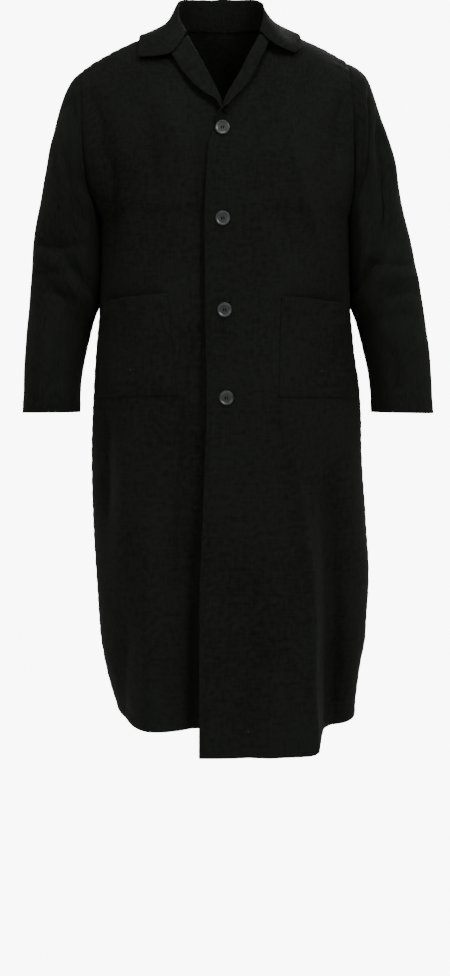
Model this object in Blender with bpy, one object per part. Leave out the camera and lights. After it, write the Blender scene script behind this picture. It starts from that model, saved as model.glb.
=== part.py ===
"""A long worn duster coat of stiff cotton cloth, modelled as the pieces a maker cuts and sews.

Metres, +Z up, +X towards the wearer's left, the coat's front towards -Y. The origin lies on the
centre line of the body at the height where the shoulder seams meet the neck. Every piece is a
thin wall laid on a surface worked out from the sections and folds below.
"""

import math
from collections import namedtuple

import bpy
import numpy as np

# Cloth and seams
CLOTH = 0.0018
SEAM_GAP = 0.0003
LAP_DEPTH = 0.0045
POCKET_CLEARANCE = 0.0014

# Heights of the main lines
UNDERARM_Z = -0.330
NECK_POINT_Z = 0.000
SEAM_Y = 0.008
UPPER_ROWS = 14
GORGE_ROW = 10
LOWER_ROWS = 14

# Sides as the photograph shows them: the coat's own left front is on the RIGHT
LEFT = -1
RIGHT = 1
FRONT = -1
BACK = 1
SECTION_POWER = {FRONT: 2.3, BACK: 2.15}
SHOULDER_POWER = 2.5
ARMHOLE_DEPTH = 0.072

# Half widths to each side and depths of the body, a row for each height
Section = namedtuple("Section", "z left right front back")
SECTIONS = (
    Section(-1.240, 0.181, 0.226, 0.190, 0.170),
    Section(-1.177, 0.188, 0.229, 0.187, 0.170),
    Section(-1.151, 0.196, 0.232, 0.185, 0.169),
    Section(-1.098, 0.210, 0.239, 0.181, 0.168),
    Section(-1.046, 0.219, 0.247, 0.178, 0.166),
    Section(-0.941, 0.226, 0.251, 0.171, 0.161),
    Section(-0.835, 0.231, 0.246, 0.165, 0.156),
    Section(-0.730, 0.233, 0.237, 0.160, 0.151),
    Section(-0.625, 0.228, 0.233, 0.157, 0.145),
    Section(-0.546, 0.222, 0.223, 0.154, 0.138),
    Section(-0.467, 0.217, 0.216, 0.152, 0.133),
    Section(-0.400, 0.217, 0.215, 0.151, 0.135),
    Section(UNDERARM_Z, 0.219, 0.217, 0.150, 0.140),
)

# Hem height from the front opening (0) to the side seam (1)
Hem = namedtuple("Hem", "place over under back_left back_right")
HEM = (
    Hem(0.00, -1.231, -1.190, -1.184, -1.184),
    Hem(0.38, -1.229, -1.191, -1.186, -1.186),
    Hem(0.50, -1.206, -1.191, -1.184, -1.187),
    Hem(0.65, -1.200, -1.188, -1.181, -1.188),
    Hem(1.00, -1.188, -1.178, -1.178, -1.188),
)

# Where the front opening's roll line stands below the underarm
Opening = namedtuple("Opening", "z over_x under_x over_flap under_flap")
OPENING = (
    Opening(-1.240, -0.0125, -0.006, 0.030, 0.032),
    Opening(-1.000, -0.0120, -0.006, 0.030, 0.032),
    Opening(-0.850, -0.0070, -0.005, 0.030, 0.032),
    Opening(-0.720, -0.0020, -0.005, 0.030, 0.032),
    Opening(-0.640, 0.0005, -0.005, 0.030, 0.032),
    Opening(-0.500, -0.0020, -0.005, 0.030, 0.032),
    Opening(UNDERARM_Z, -0.0030, -0.005, 0.030, 0.032),
)

# The roll line and then the neck seam, up from the underarm height (0) to the shoulder seam (1).
# The flap is the cloth turned out past the roll line, by its width, angle and slant.
Roll = namedtuple("Roll", "rise x y flap angle slant")
ROLL = {
    RIGHT: (
        Roll(0.000, -0.0030, -0.1500, 0.030, 0, 0.000),
        Roll(0.214, -0.0030, -0.1425, 0.024, 0, 0.000),
        Roll(0.286, -0.0030, -0.1360, 0.012, 0, 0.000),
        Roll(0.357, 0.0010, -0.1285, 0.020, 150, 0.000),
        Roll(0.429, 0.0160, -0.1180, 0.028, 165, 0.000),
        Roll(0.500, 0.0310, -0.1075, 0.030, 168, 0.000),
        Roll(0.571, 0.0415, -0.0930, 0.030, 168, 0.000),
        Roll(0.643, 0.0520, -0.0770, 0.029, 168, 0.000),
        Roll(0.714, 0.0600, -0.0600, 0.028, 168, 0.000),
        Roll(0.786, 0.0665, -0.0430, 0.028, 168, 0.000),
        Roll(0.857, 0.0705, -0.0260, 0.028, 168, 0.000),
        Roll(1.000, 0.0720, SEAM_Y, 0.028, 168, 0.000),
    ),
    LEFT: (
        Roll(0.000, -0.0050, -0.1500, 0.032, 0, 0.000),
        Roll(0.214, -0.0050, -0.1425, 0.030, 0, 0.000),
        Roll(0.286, -0.0060, -0.1360, 0.016, 0, 0.000),
        Roll(0.357, -0.0085, -0.1285, 0.014, 130, 0.005),
        Roll(0.429, -0.0200, -0.1180, 0.030, 165, 0.010),
        Roll(0.500, -0.0335, -0.1075, 0.042, 170, 0.012),
        Roll(0.571, -0.0460, -0.0930, 0.048, 172, 0.014),
        Roll(0.643, -0.0570, -0.0770, 0.050, 172, 0.018),
        Roll(0.714, -0.0660, -0.0600, 0.050, 172, 0.028),
        Roll(0.786, -0.0765, -0.0430, 0.050, 172, 0.028),
        Roll(0.857, -0.0845, -0.0260, 0.050, 172, 0.028),
        Roll(1.000, -0.0900, SEAM_Y, 0.050, 172, 0.028),
    ),
}
ROLL_RADIUS = 0.0032

# Armhole seam seen from the front, and the shoulder seam's height along its run
Armhole = namedtuple("Armhole", "rise left right")
ARMHOLE = (
    Armhole(0.00, 0.219, 0.217),
    Armhole(0.22, 0.234, 0.219),
    Armhole(0.60, 0.242, 0.218),
    Armhole(1.00, 0.246, 0.210),
)
Shoulder = namedtuple("Shoulder", "run left right")
SHOULDER = (
    Shoulder(0.00, NECK_POINT_Z, NECK_POINT_Z),
    Shoulder(0.20, -0.014, -0.010),
    Shoulder(0.45, -0.030, -0.024),
    Shoulder(0.75, -0.052, -0.043),
    Shoulder(1.00, -0.075, -0.061),
)

# Back neck: share of the half back it takes, and its centre
BACK_NECK_SHARE = 0.34
BACK_NECK_CENTRE = (-0.009, 0.074, 0.010)
BACK_HALF_COLUMNS = (4, 9)

FRONT_COLUMNS = 14
FLAP_COLUMNS = 5
FLAP_BEND_COLUMNS = 3
GORGE = LOWER_ROWS + GORGE_ROW

# Soft folds of the body: a path of heights with the fold's place across and its height out.
Fold = namedtuple("Fold", "panel inner_width outer_width path")
Crest = namedtuple("Crest", "z x out")
FOLDS = (
    Fold("front_left", 0.050, 0.016, (
        Crest(-1.240, 0.136, 0.018), Crest(-1.088, 0.137, 0.016), Crest(-0.987, 0.137, 0.014),
        Crest(-0.835, 0.121, 0.011), Crest(-0.722, 0.106, 0.008), Crest(-0.614, 0.085, 0.005),
        Crest(-0.480, 0.062, 0.000))),
    Fold("front_left", 0.020, 0.030, (
        Crest(-1.240, 0.182, -0.032), Crest(-1.088, 0.184, -0.027), Crest(-0.940, 0.184, -0.019),
        Crest(-0.780, 0.172, -0.010), Crest(-0.620, 0.150, 0.000))),
    Fold("front_left", 0.040, 0.030, (
        Crest(-0.480, 0.184, 0.000), Crest(-0.400, 0.165, 0.005), Crest(-0.300, 0.128, 0.006),
        Crest(-0.194, 0.104, 0.004), Crest(-0.100, 0.100, 0.000))),
    Fold("front_right", 0.100, 0.030, (
        Crest(-1.240, -0.048, -0.036), Crest(-1.100, -0.050, -0.033), Crest(-0.950, -0.048, -0.026),
        Crest(-0.800, -0.044, -0.016), Crest(-0.660, -0.040, -0.006), Crest(-0.560, -0.040, 0.000))),
    Fold("front_right", 0.040, 0.040, (
        Crest(-1.240, -0.122, 0.010), Crest(-1.050, -0.125, 0.010), Crest(-0.850, -0.125, 0.006),
        Crest(-0.650, -0.120, 0.000))),
    Fold("front_right", 0.020, 0.020, (
        Crest(-0.950, -0.205, 0.000), Crest(-0.800, -0.203, -0.009), Crest(-0.680, -0.200, -0.009),
        Crest(-0.600, -0.200, 0.000))),
    Fold("front_right", 0.030, 0.030, (
        Crest(-0.420, -0.075, 0.000), Crest(-0.300, -0.078, 0.005), Crest(-0.200, -0.092, 0.005),
        Crest(-0.100, -0.105, 0.000))),
    Fold("back", 0.045, 0.040, (
        Crest(-1.240, -0.105, 0.014), Crest(-1.000, -0.100, 0.012), Crest(-0.750, -0.085, 0.006),
        Crest(-0.520, -0.070, 0.000))),
    Fold("back", 0.040, 0.050, (
        Crest(-1.240, 0.085, 0.016), Crest(-1.020, 0.078, 0.013), Crest(-0.800, 0.066, 0.007),
        Crest(-0.560, 0.055, 0.000))),
    Fold("back", 0.050, 0.050, (
        Crest(-1.240, -0.010, -0.014), Crest(-1.000, -0.010, -0.010), Crest(-0.700, -0.008, -0.004),
        Crest(-0.480, 0.000, 0.000))),
)

# Sleeves: top line and under line, centre and half depth, along from the armhole (0) to the cuff (1)
Sleeve = namedtuple("Sleeve", "along top_x top_z under_x under_z centre_y depth")
SLEEVES = {
    LEFT: (
        Sleeve(0.00, 0.246, -0.075, 0.2190, -0.330, 0.000, 0.072),
        Sleeve(0.07, 0.266, -0.096, 0.2250, -0.346, 0.000, 0.079),
        Sleeve(0.16, 0.284, -0.138, 0.2260, -0.372, 0.002, 0.083),
        Sleeve(0.30, 0.302, -0.208, 0.2260, -0.412, 0.004, 0.083),
        Sleeve(0.45, 0.319, -0.292, 0.2265, -0.456, 0.004, 0.080),
        Sleeve(0.60, 0.333, -0.372, 0.2320, -0.503, 0.000, 0.076),
        Sleeve(0.75, 0.338, -0.470, 0.2420, -0.556, -0.010, 0.072),
        Sleeve(0.88, 0.346, -0.572, 0.2500, -0.612, -0.020, 0.067),
        Sleeve(1.00, 0.347, -0.663, 0.2515, -0.662, -0.027, 0.062),
    ),
    RIGHT: (
        Sleeve(0.00, 0.210, -0.061, 0.2170, -0.330, 0.000, 0.072),
        Sleeve(0.07, 0.240, -0.084, 0.2230, -0.346, 0.000, 0.080),
        Sleeve(0.16, 0.264, -0.136, 0.2240, -0.372, 0.002, 0.084),
        Sleeve(0.30, 0.286, -0.208, 0.2240, -0.412, 0.004, 0.084),
        Sleeve(0.45, 0.305, -0.293, 0.2247, -0.456, 0.004, 0.081),
        Sleeve(0.60, 0.322, -0.372, 0.2310, -0.503, 0.000, 0.077),
        Sleeve(0.75, 0.339, -0.468, 0.2430, -0.556, -0.010, 0.073),
        Sleeve(0.88, 0.352, -0.572, 0.2525, -0.612, -0.020, 0.068),
        Sleeve(1.00, 0.358, -0.664, 0.2550, -0.662, -0.027, 0.063),
    ),
}
SLEEVE_RINGS = 16
SLEEVE_POWER = 2.2

# Sleeve creases: where along, where round (0 on top, -90 at the front), how long round and how wide
Crease = namedtuple("Crease", "side along turn spread width slope out")
CREASES = (
    Crease(LEFT, 0.50, -2.0, 0.9, 0.045, 0.03, -0.006),
    Crease(LEFT, 0.58, -1.8, 1.0, 0.035, 0.03, 0.006),
    Crease(LEFT, 0.65, -1.7, 0.9, 0.030, 0.02, -0.005),
    Crease(LEFT, 0.22, -1.2, 0.7, 0.060, -0.08, -0.006),
    Crease(RIGHT, 0.48, -2.1, 0.9, 0.045, 0.04, -0.007),
    Crease(RIGHT, 0.57, -1.8, 1.0, 0.035, 0.03, 0.006),
    Crease(RIGHT, 0.66, -1.7, 0.9, 0.030, 0.02, -0.005),
    Crease(RIGHT, 0.24, -1.0, 0.6, 0.070, -0.10, -0.008),
)

# Collar: its roll line, then the middle and the edge of its fall, lifted off the face named.
# The span runs from the wearer's right gorge (0) round the back (2) to the left gorge (4).
Lift = namedtuple("Lift", "across rise up")
Station = namedtuple("Station", "span roll face middle edge")
COLLAR = (
    Station(0.00, (-0.0660, -0.0590, -0.0230), FRONT, Lift(0.175, 0.600, 0.0150), Lift(0.415, 0.650, 0.0070)),
    Station(0.50, (-0.0795, -0.0230, 0.0130), FRONT, Lift(0.12, 0.840, 0.0100), Lift(0.365, 0.840, 0.0055)),
    Station(1.00, (-0.0800, 0.0100, 0.0440), FRONT, Lift(0.05, 0.990, 0.0110), Lift(0.280, 0.995, 0.0055)),
    Station(1.25, (-0.0740, 0.0310, 0.0530), BACK, Lift(0.37, 0.960, 0.0150), Lift(0.450, 0.860, 0.0075)),
    Station(1.50, (-0.0600, 0.0500, 0.0600), BACK, Lift(0.31, 0.890, 0.0180), Lift(0.350, 0.770, 0.0095)),
    Station(1.75, (-0.0370, 0.0635, 0.0628), BACK, Lift(0.17, 0.880, 0.0180), Lift(0.190, 0.735, 0.0095)),
    Station(2.00, (-0.0085, 0.0690, 0.0640), BACK, Lift(0.00, 0.880, 0.0180), Lift(0.000, 0.725, 0.0085)),
    Station(2.25, (0.0200, 0.0635, 0.0622), BACK, Lift(0.17, 0.880, 0.0180), Lift(0.190, 0.735, 0.0095)),
    Station(2.50, (0.0430, 0.0500, 0.0590), BACK, Lift(0.31, 0.890, 0.0180), Lift(0.350, 0.770, 0.0100)),
    Station(2.75, (0.0580, 0.0310, 0.0520), BACK, Lift(0.37, 0.960, 0.0150), Lift(0.470, 0.860, 0.0085)),
    Station(3.00, (0.0645, 0.0100, 0.0420), FRONT, Lift(0.05, 0.990, 0.0110), Lift(0.310, 0.995, 0.0055)),
    Station(3.50, (0.0675, -0.0230, 0.0120), FRONT, Lift(0.12, 0.840, 0.0110), Lift(0.380, 0.840, 0.0055)),
    Station(3.80, (0.0635, -0.0460, -0.0100), FRONT, Lift(0.17, 0.715, 0.0155), Lift(0.405, 0.700, 0.0065)),
    Station(4.00, (0.0600, -0.0608, -0.0222), FRONT, Lift(0.19, 0.625, 0.0175), Lift(0.350, 0.632, 0.0095)),
)
COLLAR_PLACES = (0.0, 0.5, 0.8, 1.0, 1.2, 1.45, 1.75, 2.1, 2.5, 3.0)
COLLAR_FACING = 1

# Patch pockets: the corners seen from the front
Pocket = namedtuple("Pocket", "side inner_top outer_top inner_bottom outer_bottom")
Corner = namedtuple("Corner", "x z")
POCKETS = {
    "pocket_right": Pocket(LEFT, Corner(-0.095, -0.467), Corner(-0.205, -0.478),
                           Corner(-0.080, -0.634), Corner(-0.217, -0.636)),
    "pocket_left": Pocket(RIGHT, Corner(0.093, -0.472), Corner(0.200, -0.480),
                          Corner(0.087, -0.637), Corner(0.224, -0.637)),
}
POCKET_CELLS = 10

# Buttons
BUTTON_RADIUS = 0.0120
BUTTON_THICKNESS = 0.0032
BUTTON_DISH_RADIUS = 0.0088
BUTTON_DISH_DEPTH = 0.0010
BUTTON_EDGE = 0.0007
BUTTON_SIDES = 28
BUTTON_CLEARANCE = 0.0006
Place = namedtuple("Place", "x z")
BUTTON_PLACES = (
    Place(-0.0040, -0.1965),
    Place(-0.0036, -0.3446),
    Place(-0.0008, -0.4938),
    Place(0.0024, -0.638),
)

CLOTH_COLOUR = (0.012, 0.0125, 0.0115, 1.0)
BUTTON_COLOUR = (0.115, 0.122, 0.122, 1.0)


def curve(places, values, at):
    """A smooth curve through the points of a table, level where its values turn."""
    places = np.asarray(places, float)
    values = np.asarray(values, float)
    at = np.clip(np.asarray(at, float), places[0], places[-1])
    steps = np.diff(places)
    slopes = np.diff(values) / steps
    tangents = np.zeros(len(places))
    tangents[0] = slopes[0]
    tangents[-1] = slopes[-1]
    # Inner tangents are the harmonic mean of the slopes beside them
    same_way = slopes[:-1] * slopes[1:] > 0
    first = np.where(same_way, slopes[:-1], 1.0)
    second = np.where(same_way, slopes[1:], 1.0)
    tangents[1:-1] = np.where(same_way, 2 * first * second / (first + second), 0.0)
    cell = np.clip(np.searchsorted(places, at, side="right") - 1, 0, len(places) - 2)
    step = steps[cell]
    share = (at - places[cell]) / step
    start = (1 + 2 * share) * (1 - share) ** 2 * values[cell]
    end = share ** 2 * (3 - 2 * share) * values[cell + 1]
    lead = share * (1 - share) ** 2 * step * tangents[cell]
    trail = share ** 2 * (share - 1) * step * tangents[cell + 1]
    return start + end + lead + trail


def column(table, name, at):
    """One named column of a table, read at places in its first column."""
    places = [row[0] for row in table]
    values = [getattr(row, name) for row in table]
    return curve(places, values, at)


def ease(share):
    """A share from 0 to 1 that starts and ends softly."""
    share = np.clip(share, 0.0, 1.0)
    return share * share * (3 - 2 * share)


def blend(first, second, share):
    return first + (second - first) * share


def unit(vectors):
    lengths = np.linalg.norm(vectors, axis=-1, keepdims=True)
    return vectors / np.maximum(lengths, 1e-12)


def signed_power(value, power):
    return np.sign(value) * np.abs(value) ** power


def side_name(side):
    return "left" if side == LEFT else "right"


def half_width(side, z):
    return column(SECTIONS, side_name(side), z)


def depth(face, z):
    return column(SECTIONS, "front" if face == FRONT else "back", z)


def section_x(side, face, turn, z):
    """Place across of a body section at a share of the quarter turn from centre to side."""
    reach = signed_power(np.sin(turn * math.pi / 2), 2 / SECTION_POWER[face])
    return side * half_width(side, z) * reach


def section_y(face, turn, z):
    reach = np.abs(np.cos(turn * math.pi / 2)) ** (2 / SECTION_POWER[face])
    return face * depth(face, z) * reach


def turn_at(side, face, x, z):
    """The share of the quarter turn at which a section reaches a place across."""
    reach = np.clip(side * x / half_width(side, z), -1.0, 1.0)
    sine = signed_power(reach, SECTION_POWER[face] / 2)
    return np.arcsin(sine) * 2 / math.pi


def fold_height(panel, x, z):
    """How far the folds of a panel stand out at a place seen from the front."""
    total = np.zeros(np.broadcast(x, z).shape)
    for fold in FOLDS:
        if fold.panel != panel:
            continue
        path = sorted(fold.path)
        heights = [crest.z for crest in path]
        centre = curve(heights, [crest.x for crest in path], z)
        out = curve(heights, [crest.out for crest in path], z)
        inside = np.abs(x) < np.abs(centre)
        width = np.where(inside, fold.inner_width, fold.outer_width)
        total = total + out * np.exp(-((x - centre) / width) ** 2)
    return total


def panel_name(side):
    return "front_left" if side == RIGHT else "front_right"


def lap(side, x):
    """How far the under front is set back where the over front covers it."""
    if side == RIGHT:
        return np.zeros(np.shape(x))
    return LAP_DEPTH * ease((x + 0.085) / 0.040)


def front_low(side, turn, z):
    """A front's surface below the underarm."""
    x = section_x(side, FRONT, turn, z)
    y = section_y(FRONT, turn, z)
    out = fold_height(panel_name(side), x, z) - lap(side, x)
    lean = np.abs(turn)
    x = x + side * out * np.sin(lean * math.pi / 2) * 0.3
    return np.stack([x, y - out * (1 - 0.5 * lean ** 4), z], -1)


def rise_share(rise):
    """Share of the height from underarm to shoulder seam, close-set near the seam."""
    return np.sin(rise * math.pi / 2)


def shoulder_roll(share):
    return (1 - share ** SHOULDER_POWER) ** (1 / SHOULDER_POWER)


def armhole_bulge(share):
    return ARMHOLE_DEPTH * np.sqrt(np.clip(1 - (2 * share - 1) ** 2, 0.0, 1.0))


def front_high(side, across, rise):
    """A front's surface above the underarm, from roll line (0) to armhole (1)."""
    share = rise_share(rise)
    zero = np.zeros(np.broadcast(across, rise).shape)
    base_z = zero + UNDERARM_Z
    roll_x = column(ROLL[side], "x", rise)
    roll_y = column(ROLL[side], "y", rise)
    base_x = column(OPENING, "over_x" if side == RIGHT else "under_x", base_z)
    first_turn = turn_at(side, FRONT, base_x, base_z)
    turn = blend(first_turn, 1.0, across)
    spread = (section_x(side, FRONT, turn, base_z) - base_x) / (side * half_width(side, base_z) - base_x)
    spread = blend(spread, across, share)
    armhole_x = side * column(ARMHOLE, side_name(side), share)
    x = blend(roll_x, armhole_x, spread)
    top = column(SHOULDER, side_name(side), across)
    z = blend(UNDERARM_Z, top, share)
    chest_y = SEAM_Y + (section_y(FRONT, turn, base_z) - SEAM_Y) * shoulder_roll(share)
    y = blend(roll_y, chest_y, ease(across / 0.45))
    y = y - armhole_bulge(share) * across ** 3
    out = (fold_height(panel_name(side), x, z) - lap(side, x)) * (1 - ease((rise - 0.6) / 0.3))
    return np.stack([x, y - out, z], -1)


def front_surface(side, across, rise):
    """A front's surface for a rise of -1 at the hem, 0 at the underarm and 1 at the shoulder."""
    across, rise = np.broadcast_arrays(np.asarray(across, float), np.asarray(rise, float))
    hem = column(HEM, "over" if side == RIGHT else "under", across)
    z = blend(UNDERARM_Z, hem, np.clip(-rise, 0, 1))
    low_x = column(OPENING, "over_x" if side == RIGHT else "under_x", z)
    turn = blend(turn_at(side, FRONT, low_x, z), 1.0, across)
    low = front_low(side, turn, z)
    high = front_high(side, across, np.clip(rise, 0, 1))
    return np.where((rise > 0)[..., None], high, low)


def back_surface(across, rise):
    """The back's surface from the wearer's right armhole (-1) to the left one (1)."""
    across, rise = np.broadcast_arrays(np.asarray(across, float), np.asarray(rise, float))
    result = np.zeros(across.shape + (3,))
    for side in (LEFT, RIGHT):
        mine = across < 0 if side == LEFT else across >= 0
        if mine.any():
            result[mine] = half_back(side, np.abs(across[mine]), rise[mine])
    return result


def half_back(side, across, rise):
    hem = column(HEM, "back_" + side_name(side), across)
    low_z = blend(UNDERARM_Z, hem, np.clip(-rise, 0, 1))
    up = np.clip(rise, 0, 1)
    share = rise_share(up)
    x = section_x(side, BACK, across, low_z)
    y = section_y(BACK, across, low_z)
    # Neck and shoulder line at the top of each column
    neck_x = ROLL[side][-1].x
    neck = np.clip(across / BACK_NECK_SHARE, 0, 1)
    run = np.clip((across - BACK_NECK_SHARE) / (1 - BACK_NECK_SHARE), 0, 1)
    centre_x, centre_y, centre_z = BACK_NECK_CENTRE
    tip_x = side * ARMHOLE[-1][1 if side == LEFT else 2]
    on_neck = across < BACK_NECK_SHARE
    top_x = np.where(on_neck, blend(centre_x, neck_x, np.sin(neck * math.pi / 2)), blend(neck_x, tip_x, run))
    top_y = np.where(on_neck, blend(SEAM_Y, centre_y, np.cos(neck * math.pi / 2)), SEAM_Y)
    seam_z = column(SHOULDER, side_name(side), run)
    top_z = np.where(on_neck, blend(NECK_POINT_Z, centre_z, np.cos(neck * math.pi / 2)), seam_z)
    armhole_x = side * column(ARMHOLE, side_name(side), share)
    straight_x = blend(side * half_width(side, np.full_like(share, UNDERARM_Z)), tip_x, share)
    high_x = blend(x, top_x, share ** 1.5) + (armhole_x - straight_x) * across ** 3
    high_x = high_x + (straight_x - blend(x, top_x, share ** 1.5)) * (across >= 1.0)
    roll = blend(1 - share ** 2, shoulder_roll(share), ease(across / 0.55))
    high_y = top_y + (y - top_y) * roll + armhole_bulge(share) * across ** 3
    high_z = blend(UNDERARM_Z, top_z, share)
    above = rise > 0
    px = np.where(above, high_x, x)
    py = np.where(above, high_y, y)
    pz = np.where(above, high_z, low_z)
    out = fold_height("back", px, pz) * (1 - ease(up * 3))
    lean = across
    px = px + side * out * np.sin(lean * math.pi / 2) * 0.3
    return np.stack([px, py + out * (1 - 0.5 * lean ** 4), pz], -1)


def grid_normals(points, facing, closed=False):
    """Normals of a grid of points from its own neighbours."""
    rows = np.gradient(points, axis=0)
    if closed:
        columns = np.roll(points, -1, axis=1) - np.roll(points, 1, axis=1)
    else:
        columns = np.gradient(points, axis=1)
    return unit(np.cross(columns, rows)) * facing


def wall(name, points, normals, facing, present=None, closed=False):
    """A closed cloth wall on a grid of points, with an optional mask of its cells."""
    row_count, column_count = points.shape[:2]
    cells_across = column_count if closed else column_count - 1
    if present is None:
        present = np.ones((row_count - 1, cells_across), bool)
    outer = (points + normals * CLOTH / 2).reshape(-1, 3)
    inner = (points - normals * CLOTH / 2).reshape(-1, 3)
    count = len(outer)
    faces = []
    edges = set()
    for row, cell in zip(*np.nonzero(present)):
        right = (cell + 1) % column_count
        corners = [row * column_count + cell, row * column_count + right,
                   (row + 1) * column_count + right, (row + 1) * column_count + cell]
        if facing < 0:
            corners.reverse()
        faces.append(corners)
        faces.append([count + corner for corner in reversed(corners)])
        edges.update(zip(corners, corners[1:] + corners[:1]))
    for start, end in sorted(edges):
        if (end, start) not in edges:
            faces.append([end, start, count + start, count + end])
    used = sorted({corner for face in faces for corner in face})
    number = {corner: place for place, corner in enumerate(used)}
    every = np.vstack([outer, inner])
    mesh = bpy.data.meshes.new(name)
    mesh.from_pydata(every[used].tolist(), [], [[number[corner] for corner in face] for face in faces])
    mesh.update()
    return mesh


def rises():
    """The rows of the body panels, from the hem up to the shoulder seam."""
    low = np.linspace(-1, 0, LOWER_ROWS, endpoint=False)
    high = np.linspace(0, 1, UPPER_ROWS + 1)
    return np.concatenate([low, high])


def roll_frames(side, rise):
    """Along the roll line: its points, the way out past it, the outward normal and the way up."""
    step = 0.004
    start = np.zeros_like(rise)
    points = front_surface(side, start, rise)
    inward = unit(front_surface(side, start + 0.02, rise) - points)
    along = unit(front_surface(side, start, rise + step) - front_surface(side, start, rise - step))
    normal = unit(np.cross(inward, along)) * side
    past = np.cross(normal, along) * side
    return points, past, normal, along


def flap_lengths(width, arc, angle):
    """How far along the flap its columns stand: even where flat, round the bend where turned."""
    even = np.stack([width * (place + 1) / FLAP_COLUMNS for place in range(FLAP_COLUMNS)], -1)
    bent = [arc * (place + 1) / FLAP_BEND_COLUMNS for place in range(FLAP_BEND_COLUMNS)]
    straight_columns = FLAP_COLUMNS - FLAP_BEND_COLUMNS
    bent += [arc + (width - arc) * (place + 1) / straight_columns for place in range(straight_columns)]
    return blend(even, np.stack(bent, -1), ease(angle / (math.pi / 2))[:, None])


def flap_grid(side, rise):
    """The cloth past the roll line, bent outwards round a small radius, and its normals."""
    points, past, normal, along = roll_frames(side, rise)
    low_z = UNDERARM_Z + np.clip(-rise, 0, 1) * (HEM[0].over - UNDERARM_Z)
    low_width = column(OPENING, "over_flap" if side == RIGHT else "under_flap", low_z)
    turned = rise > 0
    width = np.where(turned, column(ROLL[side], "flap", rise), low_width)
    angle = np.radians(np.where(turned, column(ROLL[side], "angle", rise), 0.0))
    slant = np.where(turned, column(ROLL[side], "slant", rise), 0.0)
    lengths = flap_lengths(width, np.minimum(ROLL_RADIUS * angle, 0.8 * width), angle)
    grid = []
    normals = []
    for place in range(FLAP_COLUMNS):
        length = lengths[:, place]
        bend = np.minimum(length / ROLL_RADIUS, angle)
        rest = length - ROLL_RADIUS * bend
        forward = ROLL_RADIUS * np.sin(bend) + rest * np.cos(bend)
        out = ROLL_RADIUS * (1 - np.cos(bend)) + rest * np.sin(bend)
        point = points + past * forward[:, None] + normal * out[:, None]
        grid.append(point - along * (slant * length / width)[:, None])
        normals.append(normal * np.cos(bend)[:, None] - past * np.sin(bend)[:, None])
    return np.stack(grid[::-1], 1), np.stack(normals[::-1], 1)


def front_panel(side):
    """Points, normals and cell mask of a front, from its free edge to its side seam."""
    rise = rises()
    across = np.linspace(0, 1, FRONT_COLUMNS + 1)
    body = front_surface(side, across[None, :], rise[:, None])
    body_normals = grid_normals(body, side)
    flap, flap_normals = flap_grid(side, rise)
    present = np.ones((len(rise) - 1, FLAP_COLUMNS + FRONT_COLUMNS), bool)
    present[GORGE:, :FLAP_COLUMNS] = False
    points = np.concatenate([flap, body], 1)
    normals = np.concatenate([flap_normals, body_normals], 1)
    return points, normals, present


def back_across():
    """The columns of the back, closer together at the neck."""
    neck, shoulder = BACK_HALF_COLUMNS
    half = [BACK_NECK_SHARE * place / neck for place in range(neck)]
    half += [BACK_NECK_SHARE + (1 - BACK_NECK_SHARE) * place / shoulder for place in range(shoulder + 1)]
    return np.array([-place for place in reversed(half[1:])] + half)


def sleeve_ring(side, row, turns):
    """A plain oval of the sleeve, between its top line and its under line."""
    top = np.array([side * row["top_x"], 0.0, row["top_z"]])
    under = np.array([side * row["under_x"], 0.0, row["under_z"]])
    reach = signed_power(np.cos(turns), 2 / SLEEVE_POWER)[:, None]
    points = (top + under) / 2 + (top - under) / 2 * reach
    points[:, 1] += row["centre_y"] + row["depth"] * signed_power(np.sin(turns), 2 / SLEEVE_POWER)
    return points


def sleeve_row(side, along):
    return {name: float(column(SLEEVES[side], name, along)) for name in Sleeve._fields[1:]}


def sleeve_points(side, loop, turns, along):
    """The ring of the sleeve at a share along it, growing out of the armhole loop."""
    half = len(turns) // 2
    even = np.concatenate([np.linspace(-math.pi, 0, half + 1), np.linspace(0, math.pi, half + 1)[1:-1]])
    settled = blend(turns, even, float(ease(along / 0.35)))
    hold = float(1 - ease(along / 0.16))
    ring = sleeve_ring(side, sleeve_row(side, along), settled)
    ring = ring + (loop - sleeve_ring(side, sleeve_row(side, 0.0), turns)) * hold
    return ring + sleeve_folds(side, settled, along)


def sleeve_folds(side, turns, along):
    """The creases at the bend of the elbow and under the arm, straight out from the sleeve."""
    offsets = np.zeros((len(turns), 3))
    for crease in CREASES:
        if crease.side != side:
            continue
        centre = crease.along + crease.slope * np.sin((turns - crease.turn) / 2)
        swing = np.exp(-((np.angle(np.exp(1j * (turns - crease.turn)))) / crease.spread) ** 2)
        height = crease.out * swing * np.exp(-((along - centre) / crease.width) ** 2)
        offsets[:, 0] += side * np.cos(turns) * height
        offsets[:, 1] += np.sin(turns) * height
    return offsets


def armhole_loop(front_edge, back_edge):
    """The armhole seam as one ring: up the front edge and down the back edge."""
    share = rise_share(np.linspace(0, 1, UPPER_ROWS + 1))
    angles = np.arccos(np.clip(2 * share - 1, -1, 1))
    loop = np.concatenate([front_edge, back_edge[::-1][1:-1]])
    turns = np.concatenate([-angles, angles[::-1][1:-1]])
    return loop, turns


def through(points, place):
    """A smooth line through points, read at a place counted in points."""
    count = len(points)
    cell = min(int(place), count - 2)
    share = place - cell
    first = points[max(cell - 1, 0)]
    second = points[cell]
    third = points[cell + 1]
    fourth = points[min(cell + 2, count - 1)]
    lead = (third - first) / 2
    trail = (fourth - second) / 2
    return ((1 + 2 * share) * (1 - share) ** 2 * second + share ** 2 * (3 - 2 * share) * third
            + share * (1 - share) ** 2 * lead + share ** 2 * (share - 1) * trail)


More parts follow.
